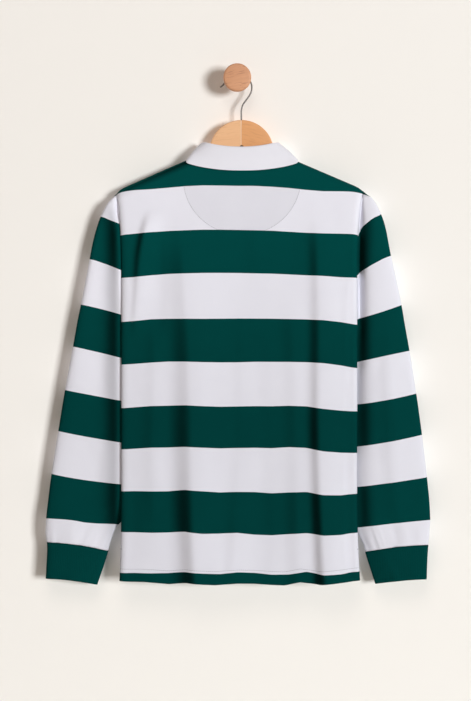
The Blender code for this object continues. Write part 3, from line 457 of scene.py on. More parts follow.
class Rows:
    """Fine rows of a body panel on one side: edge q, edge z, middle z, wrap and level."""

    def __init__(self, side, face):
        count = int((SHOULDER_Q - NECK_Q) / SHOULDER_STEP)
        q = np.linspace(NECK_Q, SHOULDER_Q, count)
        self.shoulder = count
        z_top = float(ridge_z(side, SHOULDER_Q))
        levels = np.concatenate([[SHOULDER["z_back"][-1]], SIDE["z_back"]])
        edges = np.concatenate([[z_top], SIDE["z_" + side]])
        middles = np.concatenate([[SHOULDER["z_" + face][-1]], SIDE["z_" + face]])
        wraps = np.concatenate([[AT_FOLD], SIDE["wrap"]])
        steps = int((levels[0] - levels[-1]) / ROW_STEP)
        v = np.linspace(levels[0], levels[-1], steps + 1)[1:]
        z = smooth(v, levels, edges)
        self.edge_q = np.concatenate([q, form("q_" + side, z)])
        self.edge_z = np.concatenate([ridge_z(side, q), z])
        self.mid_z = np.concatenate([smooth(q, SHOULDER["q"], SHOULDER["z_" + face]),
                                     smooth(v, levels, middles)])
        self.wrap = np.concatenate([np.full(count, AT_FOLD), straight(v, levels, wraps)])
        self.level = np.concatenate([smooth(q, SHOULDER["q"], SHOULDER["z_back"]), v])


def half_section(side, face, rows, k):
    """Fine polylines (x, y, z) of a row: centre line to fold, and fold to the panel's edge."""
    edge_q, edge_z, mid_z, wrap = rows.edge_q[k], rows.edge_z[k], rows.mid_z[k], rows.wrap[k]
    inward = 1 if face == "back" else -1
    rise = FOLD_RISE[face] * over_ridge(ridge_z(side, edge_q) - edge_z)
    flat_q = np.linspace(0, edge_q - FOLD_REACH, FLAT_POINTS)
    turn = np.linspace(0, math.pi / 2, TURN_POINTS)[1:]
    q = np.concatenate([flat_q, edge_q - FOLD_REACH * (1 - np.sin(turn))])
    z = mid_z + (edge_z - mid_z) * (q / edge_q) ** DROOP_POWER
    hem = ease((HEM_WAVE_FROM - rows.level[k]) / HEM_WAVE_REACH)
    z = z + hem * np.interp(BODY_X + SIGN[side] * q, WAVE_X, WAVE_Z)
    y = face_y(face, side, q, z)
    y[len(flat_q):] += inward * rise * (1 - np.cos(turn))
    outer = np.column_stack([BODY_X + SIGN[side] * q, y, z])
    turn = np.linspace(math.pi / 2, math.pi * min(wrap, 1), TURN_POINTS)
    bend = np.linspace(0, math.pi / 2 * max(wrap - 1, 0), TURN_POINTS)
    tuck = float(form("tuck", edge_z)) - FOLD_REACH
    fold_y = y[-1] - inward * rise * np.cos(turn)
    lead = SIDE_SEAM_Y - inward * SIDE_GAP / 2 - fold_y[-1]
    q = np.concatenate([edge_q - FOLD_REACH * (1 - np.sin(turn)),
                        edge_q - FOLD_REACH * (1 - math.sin(turn[-1])) - tuck * np.sin(bend)])
    y = np.concatenate([fold_y, fold_y[-1] + lead * (1 - np.cos(bend))])
    inner = np.column_stack([BODY_X + SIGN[side] * q, y, np.full(len(q), z[-1])])
    return outer, inner


def body_grid(face):
    """Rows of points across a body panel, with u and v for each point."""
    part = np.linspace(0, 1, FACE_STEPS + 1)
    spread = 1 - (1 - part) ** FACE_CROWD
    wrap_part = np.linspace(0, 1, WRAP_STEPS + 1)[1:]
    both = {side: Rows(side, face) for side in SIGN}
    grid, us, vs = [], [], []
    inset = RIDGE_GAP if face == "front" else -RIDGE_GAP
    for k in range(len(both["left"].level)):
        halves, lengths = [], []
        for side in SIGN:
            outer, inner = half_section(side, face, both[side], k)
            half = np.vstack([along(outer, spread), along(inner, wrap_part)])
            lengths.append(arc(half))
            if k < both[side].shoulder:
                near = ease((np.arange(len(half)) - FACE_STEPS + RIDGE_BLEND) / RIDGE_BLEND)
                half[:, 1] += inset * near
            halves.append(half)
        grid.append(np.vstack([halves[0][:0:-1], halves[1]]))
        us.append(np.concatenate([-lengths[0][:0:-1], lengths[1]]))
        vs.append(np.full(len(us[-1]), both["left"].level[k]))
    return np.array(grid), np.array(us), np.array(vs), both


def ruffle_body(grid, face, vs):
    """Small unevenness of hanging cloth, kept away from the edges and seams."""
    outward = -1 if face == "back" else 1
    columns = grid.shape[1]
    c = np.arange(columns)
    edge = ease((np.minimum(c, columns - 1 - c) - WRAP_STEPS) / EDGE_BLEND)[None, :]
    down = ease((-0.165 - vs) / 0.10)
    seed = 3.7 if face == "back" else 9.2
    long_waves = wander(grid[:, :, 0], grid[:, :, 2], 0.030, 0.20, seed)
    drifts = wander(grid[:, :, 0], grid[:, :, 2], 0.055, 0.075, seed + 5)
    lower = ease((-vs - 0.25) / 0.6)
    amount = (BODY_WAVE * long_waves * (0.35 + 0.65 * lower) + BODY_DRIFT * drifts) * edge * down
    grid[:, :, 1] += outward * amount
    return grid


# ---- sleeves -----------------------------------------------------------------------------------
def sleeve_controls(side, z_in, back_edge=None, front_edge=None):
    """Control points (q, y) of a section, from back edge or nose round to front edge or nose."""
    outline = OUTLINE[side]
    values = {name: float(smooth(z_in, SECTION["z_in"], SECTION[name])) for name in SECTION_COLUMNS}
    if side == "left":
        share = float(ease((-0.225 - z_in) / 0.06) * ease((z_in + 0.79) / 0.05))
        values["y_near"] += LEFT_FACE * share
        values["y_valley_near"] += (LEFT_FOLD - values["y_valley_near"]) * share
    q_out = float(smooth(z_in, outline["z_in"], outline["q_out"]))
    q_edge = float(form("q_" + side, z_in))
    width = q_out - max(q_edge, q_edge - values["inset_near"])
    middle = values["y_near"] + NOSE_SHARE * (values["y_far"] - values["y_near"])
    inner = [q_out - width * (1 - part) for part in BULGE[side]]
    if back_edge is None:
        nose = float(smooth(z_in, outline["z_in"], outline["q_nose"]))
        first = last = (nose, (values["y_valley_near"] + values["y_valley_far"]) / 2)
    else:
        first, last = back_edge, front_edge
    return np.array([
        first,
        (q_edge - values["inset_near"], values["y_valley_near"]),
        (inner[0], values["y_near"]),
        (inner[1], values["y_near"] + BULGE_FLAT * (middle - values["y_near"])),
        (q_out, middle),
        (inner[1], values["y_far"] + BULGE_FLAT * (middle - values["y_far"])),
        (inner[0], values["y_far"]),
        (q_edge - values["inset_far"], values["y_valley_far"]),
        last,
    ])


def place_section(side, z_in, section):
    """A section's points in space, sloping from its inner to its outer height."""
    outline = OUTLINE[side]
    z_out = float(smooth(z_in, outline["z_in"], outline["z_out"]))
    q_out = section[:, 0].max()
    q_edge = max(float(form("q_" + side, z_in)), section[:, 0].min())
    part = np.clip((q_out - section[:, 0]) / (q_out - q_edge), 0, 1)
    z = z_out + (z_in - z_out) * part ** SLEEVE_BEND
    return np.column_stack([BODY_X + SIGN[side] * section[:, 0], section[:, 1], z])


def open_section(side, back_edge, front_edge):
    """Section beside the armhole, ending a seam's gap away from the two panel edges."""
    ends = []
    for edge, inward in ((back_edge, 1), (front_edge, -1)):
        q = abs(edge[0] - BODY_X)
        ends.append(np.array([q + SEAM_GAP, edge[1] + inward * ARMHOLE_GAP]))
    controls = sleeve_controls(side, back_edge[2], ends[0], ends[1])
    before = controls[0] - (0, ARMHOLE_LEAD)
    after = controls[-1] + (0, ARMHOLE_LEAD)
    return place_section(side, back_edge[2], through(controls, SLEEVE_STEPS, before, after))


def closed_section(side, z_in):
    """Section below the underarm, closed at its nose."""
    controls = sleeve_controls(side, z_in)
    return place_section(side, z_in, through(controls, SLEEVE_STEPS, controls[-2], controls[1]))


def sleeve_rows(side, edges):
    """Sections of a sleeve from the armhole to the cuff, their levels, and how many are open."""
    back, front = edges["back"], edges["front"]
    head_rows = int(np.searchsorted(-back[:, 2], -float(SIDE["z_" + side][1])))
    head = np.vstack([back[head_rows - 1::-1], front[:head_rows]])
    head[:, 0] += SIGN[side] * ARMHOLE_GAP
    head[:head_rows - 1, 1] += ARMHOLE_GAP
    head[head_rows + 1:, 1] -= ARMHOLE_GAP
    sections = [along(head, np.linspace(0, 1, sum(SLEEVE_STEPS) + 1))]
    levels = [float(back[head_rows - 1, 2])]
    for a, b in zip(back[head_rows:-1], front[head_rows:-1]):
        sections.append(open_section(side, a, b))
        levels.append(float(a[2]))
    open_rows = len(sections)
    cuff_top = OUTLINE[side]["z_in"][-2]
    last = float(cuff_top) + 2 * SEAM_GAP
    rings = np.linspace(float(back[-1, 2]), last, int((back[-1, 2] - last) / SLEEVE_STEP) + 1)
    for z_in in rings:
        sections.append(closed_section(side, float(z_in)))
        levels.append(float(z_in))
    return np.array(sections), np.array(levels), open_rows


def ruffle_sleeve(grid, side, levels):
    """Folds of a sleeve: long soft ones, slanting ones at the elbow, gathers above the cuff."""
    columns = grid.shape[1]
    centre = grid.mean(axis=1, keepdims=True)
    around = np.linspace(0, 2 * math.pi, columns)[None, :]
    turn = np.column_stack([np.cos(around[0]), np.sin(around[0])])
    out = grid - centre
    out[:, :, 2] = 0
    out /= np.maximum(np.linalg.norm(out, axis=2, keepdims=True), 1e-6)
    flatwise = out * np.array([EDGEWISE, 1.0, 0.0])
    q = np.abs(grid[:, :, 0] - BODY_X)
    level = levels[:, None]
    top, low = -0.30, float(OUTLINE[side]["z_in"][-2])
    seed = 21.3 if side == "left" else 37.9
    loose = ease((top - level) / 0.12) * ease((level - low) / 0.012)
    c = np.arange(columns)
    seam = ease((np.minimum(c, columns - 1 - c) - 2) / EDGE_BLEND)
    long_waves = wander(q + 0.25 * (level + 0.5), grid[:, :, 2], 0.030, 0.17, seed)
    slants = wander(q - 0.55 * level, grid[:, :, 2] + 0.5 * q, 0.040, 0.13, seed + 4)
    amount = (SLEEVE_WAVE * long_waves + SLEEVE_SLANT * slants) * loose * seam[None, :]
    near_cuff = ease((low + 0.060 - level) / 0.045)
    pleats = np.array([[noise.noise((a * 3.4, b * 3.4, seed + 9)) for a, b in turn]])
    fine = np.array([[noise.noise((a * 6.5, b * 6.5, seed + 13)) for a, b in turn]])
    comb = np.cos(24 * around + 2.5 * pleats + 60 * (level - low))
    amount = amount + near_cuff * (GATHER_PLEAT * pleats + GATHER_FINE * fine
                                   + GATHER_COMB * comb)
    grid = grid + flatwise * amount[:, :, None]
    blouse = np.exp(-((level - low - 0.012) / 0.014) ** 2) * GATHER_BLOUSE
    grid = grid + flatwise * blouse[:, :, None] * (seam > 0)[None, :, None]
    if side == "right":
        z = grid[:, :, 2]
        middle = np.interp(-z, (0.40, 0.45, 0.74), (0.252, 0.257, 0.271))
        half = np.where(q < middle, 9 * MM, 24 * MM)
        near = np.clip(-out[:, :, 1], 0, 1) * ease((-0.39 - z) / 0.16) * ease((z + 0.80) / 0.05)
        grid[:, :, 1] -= ELBOW_FOLD * near * np.exp(-((q - middle) / half) ** 2)
    return grid


# ---- meshes ------------------------------------------------------------------------------------
def new_object(name, mesh, surface, node=None, ride=True):
    """Link a mesh as a named piece that rides on the body and may stand for a CAD node."""
    made = bpy.data.objects.new(name, mesh)
    if surface is not None:
        made.data.materials.append(surface)
    bpy.context.scene.collection.objects.link(made)
    if ride:
        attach(made, "root")
    if node is not None:
        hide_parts(node)
    return made


def shell(name, points, faces, surface, node=None):
    """Smooth piece from points and faces."""
    mesh = bpy.data.meshes.new(name)
    mesh.from_pydata(points, [], faces)
    mesh.shade_smooth()
    return new_object(name, mesh, surface, node)


def cloth(name, grid, us, vs, thickness, surface, node, open_rows=None, skip=None,
          folds=None):
    """Thin shell from rows of points with its cloth map; rows from open_rows on are rings.

    "skip" tells which faces to leave out.  "folds" gives for each point its share of painted shade,
    kept as a point attribute for the yarn's colour."""
    rows, columns = grid.shape[:2]
    open_rows = rows if open_rows is None else open_rows
    index = np.zeros((rows, columns), int)
    points = []
    for r in range(rows):
        for c in range(columns):
            if r >= open_rows and c == columns - 1:
                index[r, c] = index[r, 0]
                continue
            index[r, c] = len(points)
            points.append(tuple(grid[r, c]))
    faces, maps = [], []
    for r in range(rows - 1):
        for c in range(columns - 1):
            if skip is not None and skip(r, c):
                continue
            corners = ((r, c), (r, c + 1), (r + 1, c + 1), (r + 1, c))
            loop = []
            for corner in corners:
                i = int(index[corner])
                if all(i != other for other, _ in loop):
                    loop.append((i, corner))
            if len(loop) > 2:
                faces.append(tuple(i for i, _ in loop))
                maps.append([(us[corner], vs[corner]) for _, corner in loop])
    mesh = bpy.data.meshes.new(name)
    mesh.from_pydata(points, [], faces)
    if folds is not None:
        shares = np.zeros(len(points))
        shares[index.ravel()[::-1]] = folds.ravel()[::-1]
        mesh.attributes.new(PAINTED_FOLD_SHADE, "FLOAT", "POINT").data.foreach_set("value", shares)
    layer = mesh.uv_layers.new(name="cloth_m")
    flat = np.array([uv for face in maps for uv in face], float)
    layer.data.foreach_set("uv", flat.ravel())
    made = bmesh.new()
    made.from_mesh(mesh)
    bmesh.ops.remove_doubles(made, verts=made.verts, dist=0.02 * MM)
    made.to_mesh(mesh)
    made.free()
    mesh.validate()
    mesh.shade_smooth()
    piece = new_object(name, mesh, surface, node)
    solid = piece.modifiers.new("cloth thickness", "SOLIDIFY")
    solid.thickness = thickness
    solid.offset = 0.0
    solid.use_even_offset = False
    return piece


def slope_painted_shade(grid):
    """Painted shade of each point of a face, by how far it turns away from the side that the light
    comes from.
    """
    run = np.gradient(grid, axis=1)
    slope = run[:, :, 1] / np.where(np.abs(run[:, :, 0]) < 0.01 * MM, np.inf, run[:, :, 0])
    lit = (1 + LIGHT_SLANT * slope) / np.sqrt(1 + slope ** 2)
    return np.clip((1 - np.clip(lit, 0, 1) ** LIGHT_POWER) / LIGHT_LOSS, 0, 1)


def valley_painted_shade(side, q, z):
    """Painted shade of a sleeve in the valley beside the body, where the body's shadow falls, by
    how deep a point lies in it.
    """
    beside = q - form("q_" + side, z) - VALLEY_AT
    width = np.where(beside > 0, VALLEY_OUT[side], VALLEY_IN)
    return np.exp(-(beside / width) ** 2) * ease(np.clip((VALLEY_TOP - z) / VALLEY_GROW, 0, 1))


def normals(grid):
    """Unit normals of a grid of points, as cross products of its two runs."""
    across = np.gradient(grid, axis=1)
    down = np.gradient(grid, axis=0)
    out = np.cross(across, down)
    return out / np.maximum(np.linalg.norm(out, axis=2, keepdims=True), 1e-9)


class Sheet:
    """A grid with its levels, to find places on the cloth."""

    def __init__(self, grid, vs):
        self.grid, self.vs = grid, vs
        self.normal = normals(grid)

    def at(self, row, column):
        """Place and outward direction between the points of the grid."""
        r0 = int(np.clip(math.floor(row), 0, self.grid.shape[0] - 2))
        c0 = int(np.clip(math.floor(column), 0, self.grid.shape[1] - 2))
        a, b = row - r0, column - c0
        weights = ((r0, c0, (1 - a) * (1 - b)), (r0, c0 + 1, (1 - a) * b),
                   (r0 + 1, c0, a * (1 - b)), (r0 + 1, c0 + 1, a * b))
        place = sum(self.grid[r, c] * w for r, c, w in weights)
        out = sum(self.normal[r, c] * w for r, c, w in weights)
        return place, out / max(np.linalg.norm(out), 1e-9)

    def row_of(self, v):
        """Row, with its fraction, of a level on the middle column."""
        levels = self.vs[:, self.vs.shape[1] // 2]
        return float(np.interp(-v, -levels, np.arange(len(levels))))

    def line_v(self, v, first, last, lift):
        """Points along a row of level v between two columns, lifted off the cloth."""
        row = self.row_of(v)
        return [self.raised(row, c, lift) for c in np.arange(first, last + 0.25, 0.5)]

    def raised(self, row, column, lift):
        """A place on the grid, lifted off the cloth."""
        place, out = self.at(row, column)
        return place + out * lift


def add_tube(points, faces, line, radii, sides, side, up):
    """Add a tube along a line, closed at both ends; "side" and "up" span each of its rings."""
    base = len(points)
    for place, radius, a, b in zip(line, radii, side, up):
        for s in range(sides):
            angle = 2 * math.pi * s / sides
            points.append(tuple(place + radius * (math.cos(angle) * a + math.sin(angle) * b)))
    for k in range(len(line) - 1):
        for s in range(sides):
            i, j = base + k * sides + s, base + k * sides + (s + 1) % sides
            faces.append((i, j, j + sides, i + sides))
    faces.append(tuple(base + s for s in range(sides))[::-1])
    faces.append(tuple(len(points) - sides + s for s in range(sides)))


def stitches(name, lines, surface, length, gap, radius):
    """Short bars of thread laid end to end along lines on the cloth."""
    points, faces = [], []
    for line in lines:
        line = np.asarray(line, float)
        total = arc(line)
        count = max(1, int(total[-1] / (length + gap)))
        step = total[-1] / count
        for k in range(count):
            ends = [k * step + gap / 2, (k + 0.5) * step, (k + 1) * step - gap / 2]
            places = [np.array([np.interp(e, total, line[:, j]) for j in range(3)]) for e in ends]
            run = places[2] - places[0]
            run /= np.linalg.norm(run)
            side = np.cross(run, THREAD_TURN)
            side /= np.linalg.norm(side)
            radii = [radius * share for share in STITCH_TAPER]
            add_tube(points, faces, places, radii, THREAD_SIDES, [side] * 3,
                     [np.cross(side, run)] * 3)
    return shell(name, points, faces, surface)


def cords(name, lines, surface, radius):
    """Fine round cords along lines: bar tacks and the thread of the buttons."""
    points, faces = [], []
    for line in lines:
        line = np.asarray(line, float)
        run = np.gradient(line, axis=0)
        run /= np.maximum(np.linalg.norm(run, axis=1, keepdims=True), 1e-9)
        side = np.cross(run, THREAD_TURN)
        side /= np.linalg.norm(side, axis=1, keepdims=True)
        add_tube(points, faces, line, [radius] * len(line), THREAD_SIDES, side,
                 np.cross(side, run))
    return shell(name, points, faces, surface)


def turned(profile, x, z, sides):
    """Body turned about an axis along Y, from (radius, y) pairs; a radius of 0 is one point."""
    made = bmesh.new()
    rings = []
    for radius, y in profile:
        if radius == 0:
            rings.append([made.verts.new((x, y, z))])
            continue
        rings.append([made.verts.new((x + radius * math.cos(a), y, z + radius * math.sin(a)))
                      for a in np.linspace(0, 2 * math.pi, sides, endpoint=False)])
    for a, b in zip(rings, rings[1:]):
        for k in range(sides):
            j = (k + 1) % sides
            corners = [a[k % len(a)], a[j % len(a)], b[j % len(b)], b[k % len(b)]]
            made.faces.new(list(dict.fromkeys(corners)))
    for ring in (rings[0], rings[-1]):
        if len(ring) > 1:
            made.faces.new(ring)
    bmesh.ops.recalc_face_normals(made, faces=made.faces)
    return made


def hard_piece(made, name, surface, node, sharp):
    """Piece from a bmesh, smooth but for edges sharper than an angle in degrees."""
    mesh = bpy.data.meshes.new(name)
    made.to_mesh(mesh)
    made.free()
    mesh.shade_smooth()
    mesh.set_sharp_from_angle(angle=math.radians(sharp))
    return new_object(name, mesh, surface, node)


# ---- materials ---------------------------------------------------------------------------------
class Nodes:
    """Short hand for building a material's nodes."""

    def __init__(self, name, roughness, specular=0.3, metallic=0.0, sheen=0.0, coat=0.0):
        self.material = bpy.data.materials.new(name)
        self.material.use_nodes = True
        self.tree = self.material.node_tree
        self.shader = self.tree.nodes["Principled BSDF"]
        for key, value in {"Roughness": roughness, "Specular IOR Level": specular,
                           "Metallic": metallic, "Sheen Weight": sheen, "Sheen Roughness": 0.5,
                           "Coat Weight": coat, "Coat Roughness": 0.3}.items():
            self.shader.inputs[key].default_value = value

    def add(self, kind, inputs=(), **settings):
        """A new node, with values of its inputs by name and its settings."""
        made = self.tree.nodes.new(kind)
        for key, value in dict(inputs).items():
            made.inputs[key].default_value = value
        for key, value in settings.items():
            setattr(made, key, value)
        return made

    def link(self, source, target):
        """Join two sockets."""
        self.tree.links.new(source, target)

    def math(self, operation, a, b=None, c=None):
        """Result of an operation on sockets or numbers."""
        made = self.add("ShaderNodeMath", operation=operation)
        for socket, value in zip(made.inputs, (a, b, c)):
            if value is None:
                continue
            if isinstance(value, (int, float)):
                socket.default_value = value
            else:
                self.link(value, socket)
        return made.outputs[0]

    def mix(self, factor, a, b):
        """Colour between two sockets or colours."""
        made = self.add("ShaderNodeMix", data_type="RGBA")
        for socket, value in ((made.inputs[0], factor), (made.inputs[6], a), (made.inputs[7], b)):
            if isinstance(value, (int, float)):
                socket.default_value = value
            elif isinstance(value, tuple):
                socket.default_value = (*value, 1.0)
            else:
                self.link(value, socket)
        return made.outputs[2]

    def cloth_map(self):
        """The cloth map, and its u and v on their own."""
        uv = self.add("ShaderNodeUVMap", uv_map="cloth_m")
        split = self.add("ShaderNodeSeparateXYZ")
        self.link(uv.outputs[0], split.inputs[0])
        return uv.outputs[0], split.outputs[0], split.outputs[1]

    def noise(self, vector, scale, detail=2.0, rough=0.5, distortion=0.0):
        """Cloudy noise about 0.5 at a place."""
        made = self.add("ShaderNodeTexNoise", {"Scale": scale, "Detail": detail,
                                               "Roughness": rough, "Distortion": distortion})
        self.link(vector, made.inputs["Vector"])
        return made.outputs["Fac"]

    def stretch(self, vector, scale, turn=(0, 0, 0)):
        """A place, scaled and turned."""
        made = self.add("ShaderNodeMapping", {"Scale": scale, "Rotation": turn})
        self.link(vector, made.inputs["Vector"])
        return made.outputs[0]

    def bump(self, height, strength, distance):
        """Let a height tilt the surface's normals."""
        made = self.add("ShaderNodeBump", {"Strength": strength, "Distance": distance})
        self.link(height, made.inputs["Height"])
        self.link(made.outputs[0], self.shader.inputs["Normal"])

    def colour(self, socket):
        """Set the colour; the finished material."""
        self.link(socket, self.shader.inputs["Base Color"])
        return self.material


def knit_height(n, u, v, wale, course):
    """Rows of small V-shaped stitches: height from 0 to 1."""
    across = n.math("ABSOLUTE", n.math("SUBTRACT", n.math("FRACT", n.math("DIVIDE", u, wale)), 0.5))
    slant = n.math("MULTIPLY_ADD", across, 0.9, n.math("DIVIDE", v, course))
    rows = n.math("SINE", n.math("MULTIPLY", slant, 2 * math.pi))
    ribs = n.math("COSINE", n.math("MULTIPLY", across, 4 * math.pi))
    return n.math("ADD", n.math("MULTIPLY", rows, 0.35), n.math("MULTIPLY", ribs, -0.3))


def tint(colour, share):
    """A colour made darker or lighter."""
    return tuple(share * c for c in colour)


def jersey(name, bands, moon=False, painted_light=(0.975, 1.125, 0.80, 1.20), folds=(0.0, 0.70)):
    """Cotton jersey in two colours, banded by the level on the garment, green at the top.

    Painted light makes it lighter towards the top and darker below: the fourth argument gives the
    strength of the white and of the green, each below and at the top.  Painted shade darkens it in
    the
    folds: "folds" gives how much darker the white and the green are at their deepest."""
    n = Nodes(name, 0.95, specular=0.02)
    uv, u, v = n.cloth_map()
    below = None
    for band in bands:
        step = n.math("LESS_THAN", v, band[0] * MM)
        below = step if below is None else n.math("ADD", below, step)
    odd = n.math("MODULO", below, 2.0)
    green_part = n.math("SUBTRACT", 1.0, odd)
    yarn = n.noise(n.stretch(uv, (900, 700, 1)), 1.0, 2.0, 0.6)
    blotch = n.noise(uv, 26.0, 3.0, 0.5)
    shade = n.math("ADD", n.math("MULTIPLY", yarn, 0.65), n.math("MULTIPLY", blotch, 0.35))
    # Painted light: lighter towards the top by the level, darker below.
    painted_top_light = n.math("MULTIPLY_ADD", v, PAINTED_LIGHT_SLOPE, PAINTED_LIGHT_AT_TOP)
    painted_top_light = n.math("MINIMUM", 1.0, n.math("MAXIMUM", 0.0, painted_top_light))
    whites = [n.mix(shade, tint(WHITE_DEEP, share), tint(WHITE, share)) for share in painted_light[:2]]
    greens = [n.mix(shade, tint(GREEN_DEEP, share), tint(GREEN, share)) for share in painted_light[2:]]
    white = n.mix(painted_top_light, *whites)
    green = n.mix(n.math("POWER", painted_top_light, 1.5), *greens)
    if moon:
        place = n.add("ShaderNodeTexCoord").outputs["Object"]
        split = n.add("ShaderNodeSeparateXYZ")
        n.link(place, split.inputs[0])
        a = n.math("DIVIDE", n.math("SUBTRACT", split.outputs[0], MOON_X), MOON_HALF_WIDTH)
        b = n.math("DIVIDE", n.math("SUBTRACT", split.outputs[2], MOON_Z), MOON_STITCH_HEIGHT)
        radius = n.math("ADD", n.math("MULTIPLY", a, a), n.math("MULTIPLY", b, b))
        inside = n.math("LESS_THAN", radius, 1.0)
        white = n.mix(n.math("MULTIPLY", inside, MOON_SHADE_PART), white, MOON_SHADE)
    # Painted shade in the folds and beside the body: white and green are darkened towards black by
    # the point attribute.
    fold = n.add("ShaderNodeAttribute", attribute_name=PAINTED_FOLD_SHADE).outputs["Fac"]
    white = n.mix(n.math("MULTIPLY", fold, folds[0]), white, BLACK)
    green = n.mix(n.math("MULTIPLY", fold, folds[1]), green, BLACK)
    height = n.math("ADD", knit_height(n, u, v, 1.15 * MM, 0.95 * MM),
                    n.math("MULTIPLY", yarn, 0.5))
    n.bump(height, 0.35, 0.00028)
    return n.colour(n.mix(green_part, white, green))


def rib_material():
    """Dark green rib with narrow upright ribs, a little darker in their grooves by painted shade.
    """
    n = Nodes("rib green", 0.95, specular=0.02)
    uv, u, v = n.cloth_map()
    wave = n.math("COSINE", n.math("MULTIPLY", n.math("DIVIDE", u, 3.1 * MM), 2 * math.pi))
    height = n.math("ADD", n.math("MULTIPLY", wave, 0.5), knit_height(n, u, v, 1.5 * MM, 1.0 * MM))
    yarn = n.noise(n.stretch(uv, (800, 600, 1)), 1.0, 2.0, 0.6)
    # Yarn tone at random, and painted shade in the grooves between the ribs.
    shade = n.math("ADD", n.math("MULTIPLY", yarn, 0.5), n.math("MULTIPLY", wave, 0.22))
    n.bump(height, 0.6, 0.0005)
    return n.colour(n.mix(shade, (0.0003, 0.040, 0.037), (0.0005, 0.058, 0.053)))


def drill_material(name, deep, light):
    """Cotton drill: a close diagonal twill."""
    n = Nodes(name, 0.9, specular=0.1)
    uv, u, v = n.cloth_map()
    twill = n.math("SINE", n.math("MULTIPLY", n.math("DIVIDE", n.math("ADD", u, v), 0.75 * MM),
                                  2 * math.pi))
    yarn = n.noise(n.stretch(uv, (1200, 1200, 1)), 1.0, 2.0, 0.6)
    blotch = n.noise(uv, 40.0, 2.0, 0.5)
    shade = n.math("ADD", n.math("MULTIPLY", yarn, 0.55), n.math("MULTIPLY", blotch, 0.45))
    n.bump(n.math("ADD", n.math("MULTIPLY", twill, 0.4), yarn), 0.25, 0.0002)
    return n.colour(n.mix(shade, deep, light))


def thread_material(name, colour):
    """Twisted cotton thread."""
    n = Nodes(name, 0.75, specular=0.25, sheen=0.2)
    place = n.add("ShaderNodeTexCoord").outputs["Object"]
    twist = n.noise(place, 2600.0, 1.0, 0.5)
    n.bump(twist, 0.4, 0.0001)
    deep = tuple(0.78 * c for c in colour)
    return n.colour(n.mix(twist, deep, colour))


def wood_material(name, light, deep, line, axis_scale, turn, pore=0.18, coat=0.2, roughness=0.45,
                  edge=None):
    """Fine straight-grained wood: fibres, growth rings and short dark pores.

    "edge" is the colour of the fresh cut where the two arms of the hanger meet."""
    n = Nodes(name, roughness, specular=0.35, coat=coat)
    place = n.add("ShaderNodeTexCoord").outputs["Object"]
    turned = n.stretch(place, (1, 1, 1), turn)
    fibres = n.noise(n.stretch(turned, axis_scale), 1.0, 4.0, 0.6, 0.4)
    rings = n.noise(n.stretch(turned, tuple(0.16 * s for s in axis_scale)), 1.0, 2.0, 0.5, 1.2)
    pores = n.noise(n.stretch(turned, tuple(2.2 * s for s in axis_scale)), 1.0, 1.0, 0.4)
    dark = n.math("MULTIPLY", n.math("GREATER_THAN", pores, 0.64), pore)
    tone = n.mix(n.math("ADD", n.math("MULTIPLY", fibres, 0.6), n.math("MULTIPLY", rings, 0.45)),
                 deep, light)
    n.bump(n.math("SUBTRACT", fibres, dark), 0.12, 0.0003)
    tone = n.mix(dark, tone, line)
    if edge is not None:
        across = n.add("ShaderNodeSeparateXYZ")
        n.link(place, across.inputs[0])
        near = n.math("GREATER_THAN", across.outputs[0], HANGER_X - 1.3 * MM)
        tone = n.mix(n.math("MULTIPLY", near, 0.8), tone, edge)
    return n.colour(tone)


def steel_material():
    """Drawn steel wire with fine lines along it."""
    n = Nodes("steel wire", 0.42, specular=0.5, metallic=1.0)
    place = n.add("ShaderNodeTexCoord").outputs["Object"]
    lines = n.noise(n.stretch(place, (600, 600, 2500)), 1.0, 2.0, 0.6)
    n.bump(lines, 0.15, 0.00008)
    return n.colour(n.mix(lines, (0.12, 0.112, 0.108), (0.20, 0.19, 0.185)))


def rubber_material():
    """Soft moulded rubber of the buttons."""
    n = Nodes("rubber button", 0.5, specular=0.4)
    place = n.add("ShaderNodeTexCoord").outputs["Object"]
    mottle = n.noise(place, 700.0, 3.0, 0.6)
    n.bump(mottle, 0.12, 0.0001)
    return n.colour(n.mix(mottle, (0.62, 0.61, 0.58), (0.74, 0.73, 0.70)))


BODY_JERSEY = jersey("jersey body back", BODY_BANDS, moon=True)
FRONT_JERSEY = jersey("jersey body front", BODY_BANDS)
# The sleeves carry more painted light at the top than the body, the left one most, and painted
# shade in the valley beside the body, on the left in the white too.
SLEEVE_JERSEY = {
    "left": jersey("jersey sleeve left", SLEEVE_BANDS["left"], painted_light=(1.03, 1.22, 0.88, 1.25),
                   folds=(0.27, 0.72)),
    "right": jersey("jersey sleeve right", SLEEVE_BANDS["right"], painted_light=(1.02, 1.13, 0.88, 1.15),
                    folds=(0.05, 0.62)),
}
RIB_GREEN = rib_material()
DRILL_WHITE = drill_material("drill collar", (0.71, 0.715, 0.775), COLLAR_WHITE)
DRILL_TAPE = drill_material("drill trim", (0.62, 0.61, 0.65), (0.69, 0.68, 0.72))
THREAD_GREY = thread_material("thread grey", (0.30, 0.30, 0.335))
THREAD_WHITE = thread_material("thread white", (0.66, 0.65, 0.69))
WOOD_LEFT = wood_material("beech left", (0.82, 0.50, 0.275), (0.72, 0.40, 0.20),
                          (0.42, 0.21, 0.09), (22, 60, 230), (0, math.radians(8), 0),
                          edge=(0.88, 0.62, 0.42))
WOOD_RIGHT = wood_material("beech right", (0.76, 0.385, 0.165), (0.60, 0.275, 0.105),
                           (0.38, 0.17, 0.06), (22, 60, 230), (0, math.radians(-14), 0))
WOOD_PEG = wood_material("beech peg", (0.70, 0.37, 0.205), (0.45, 0.205, 0.105), (0.28, 0.11, 0.06),
                         (26, 80, 330), (0, math.radians(11), 0), pore=0.5, coat=0.1,
                         roughness=0.55)
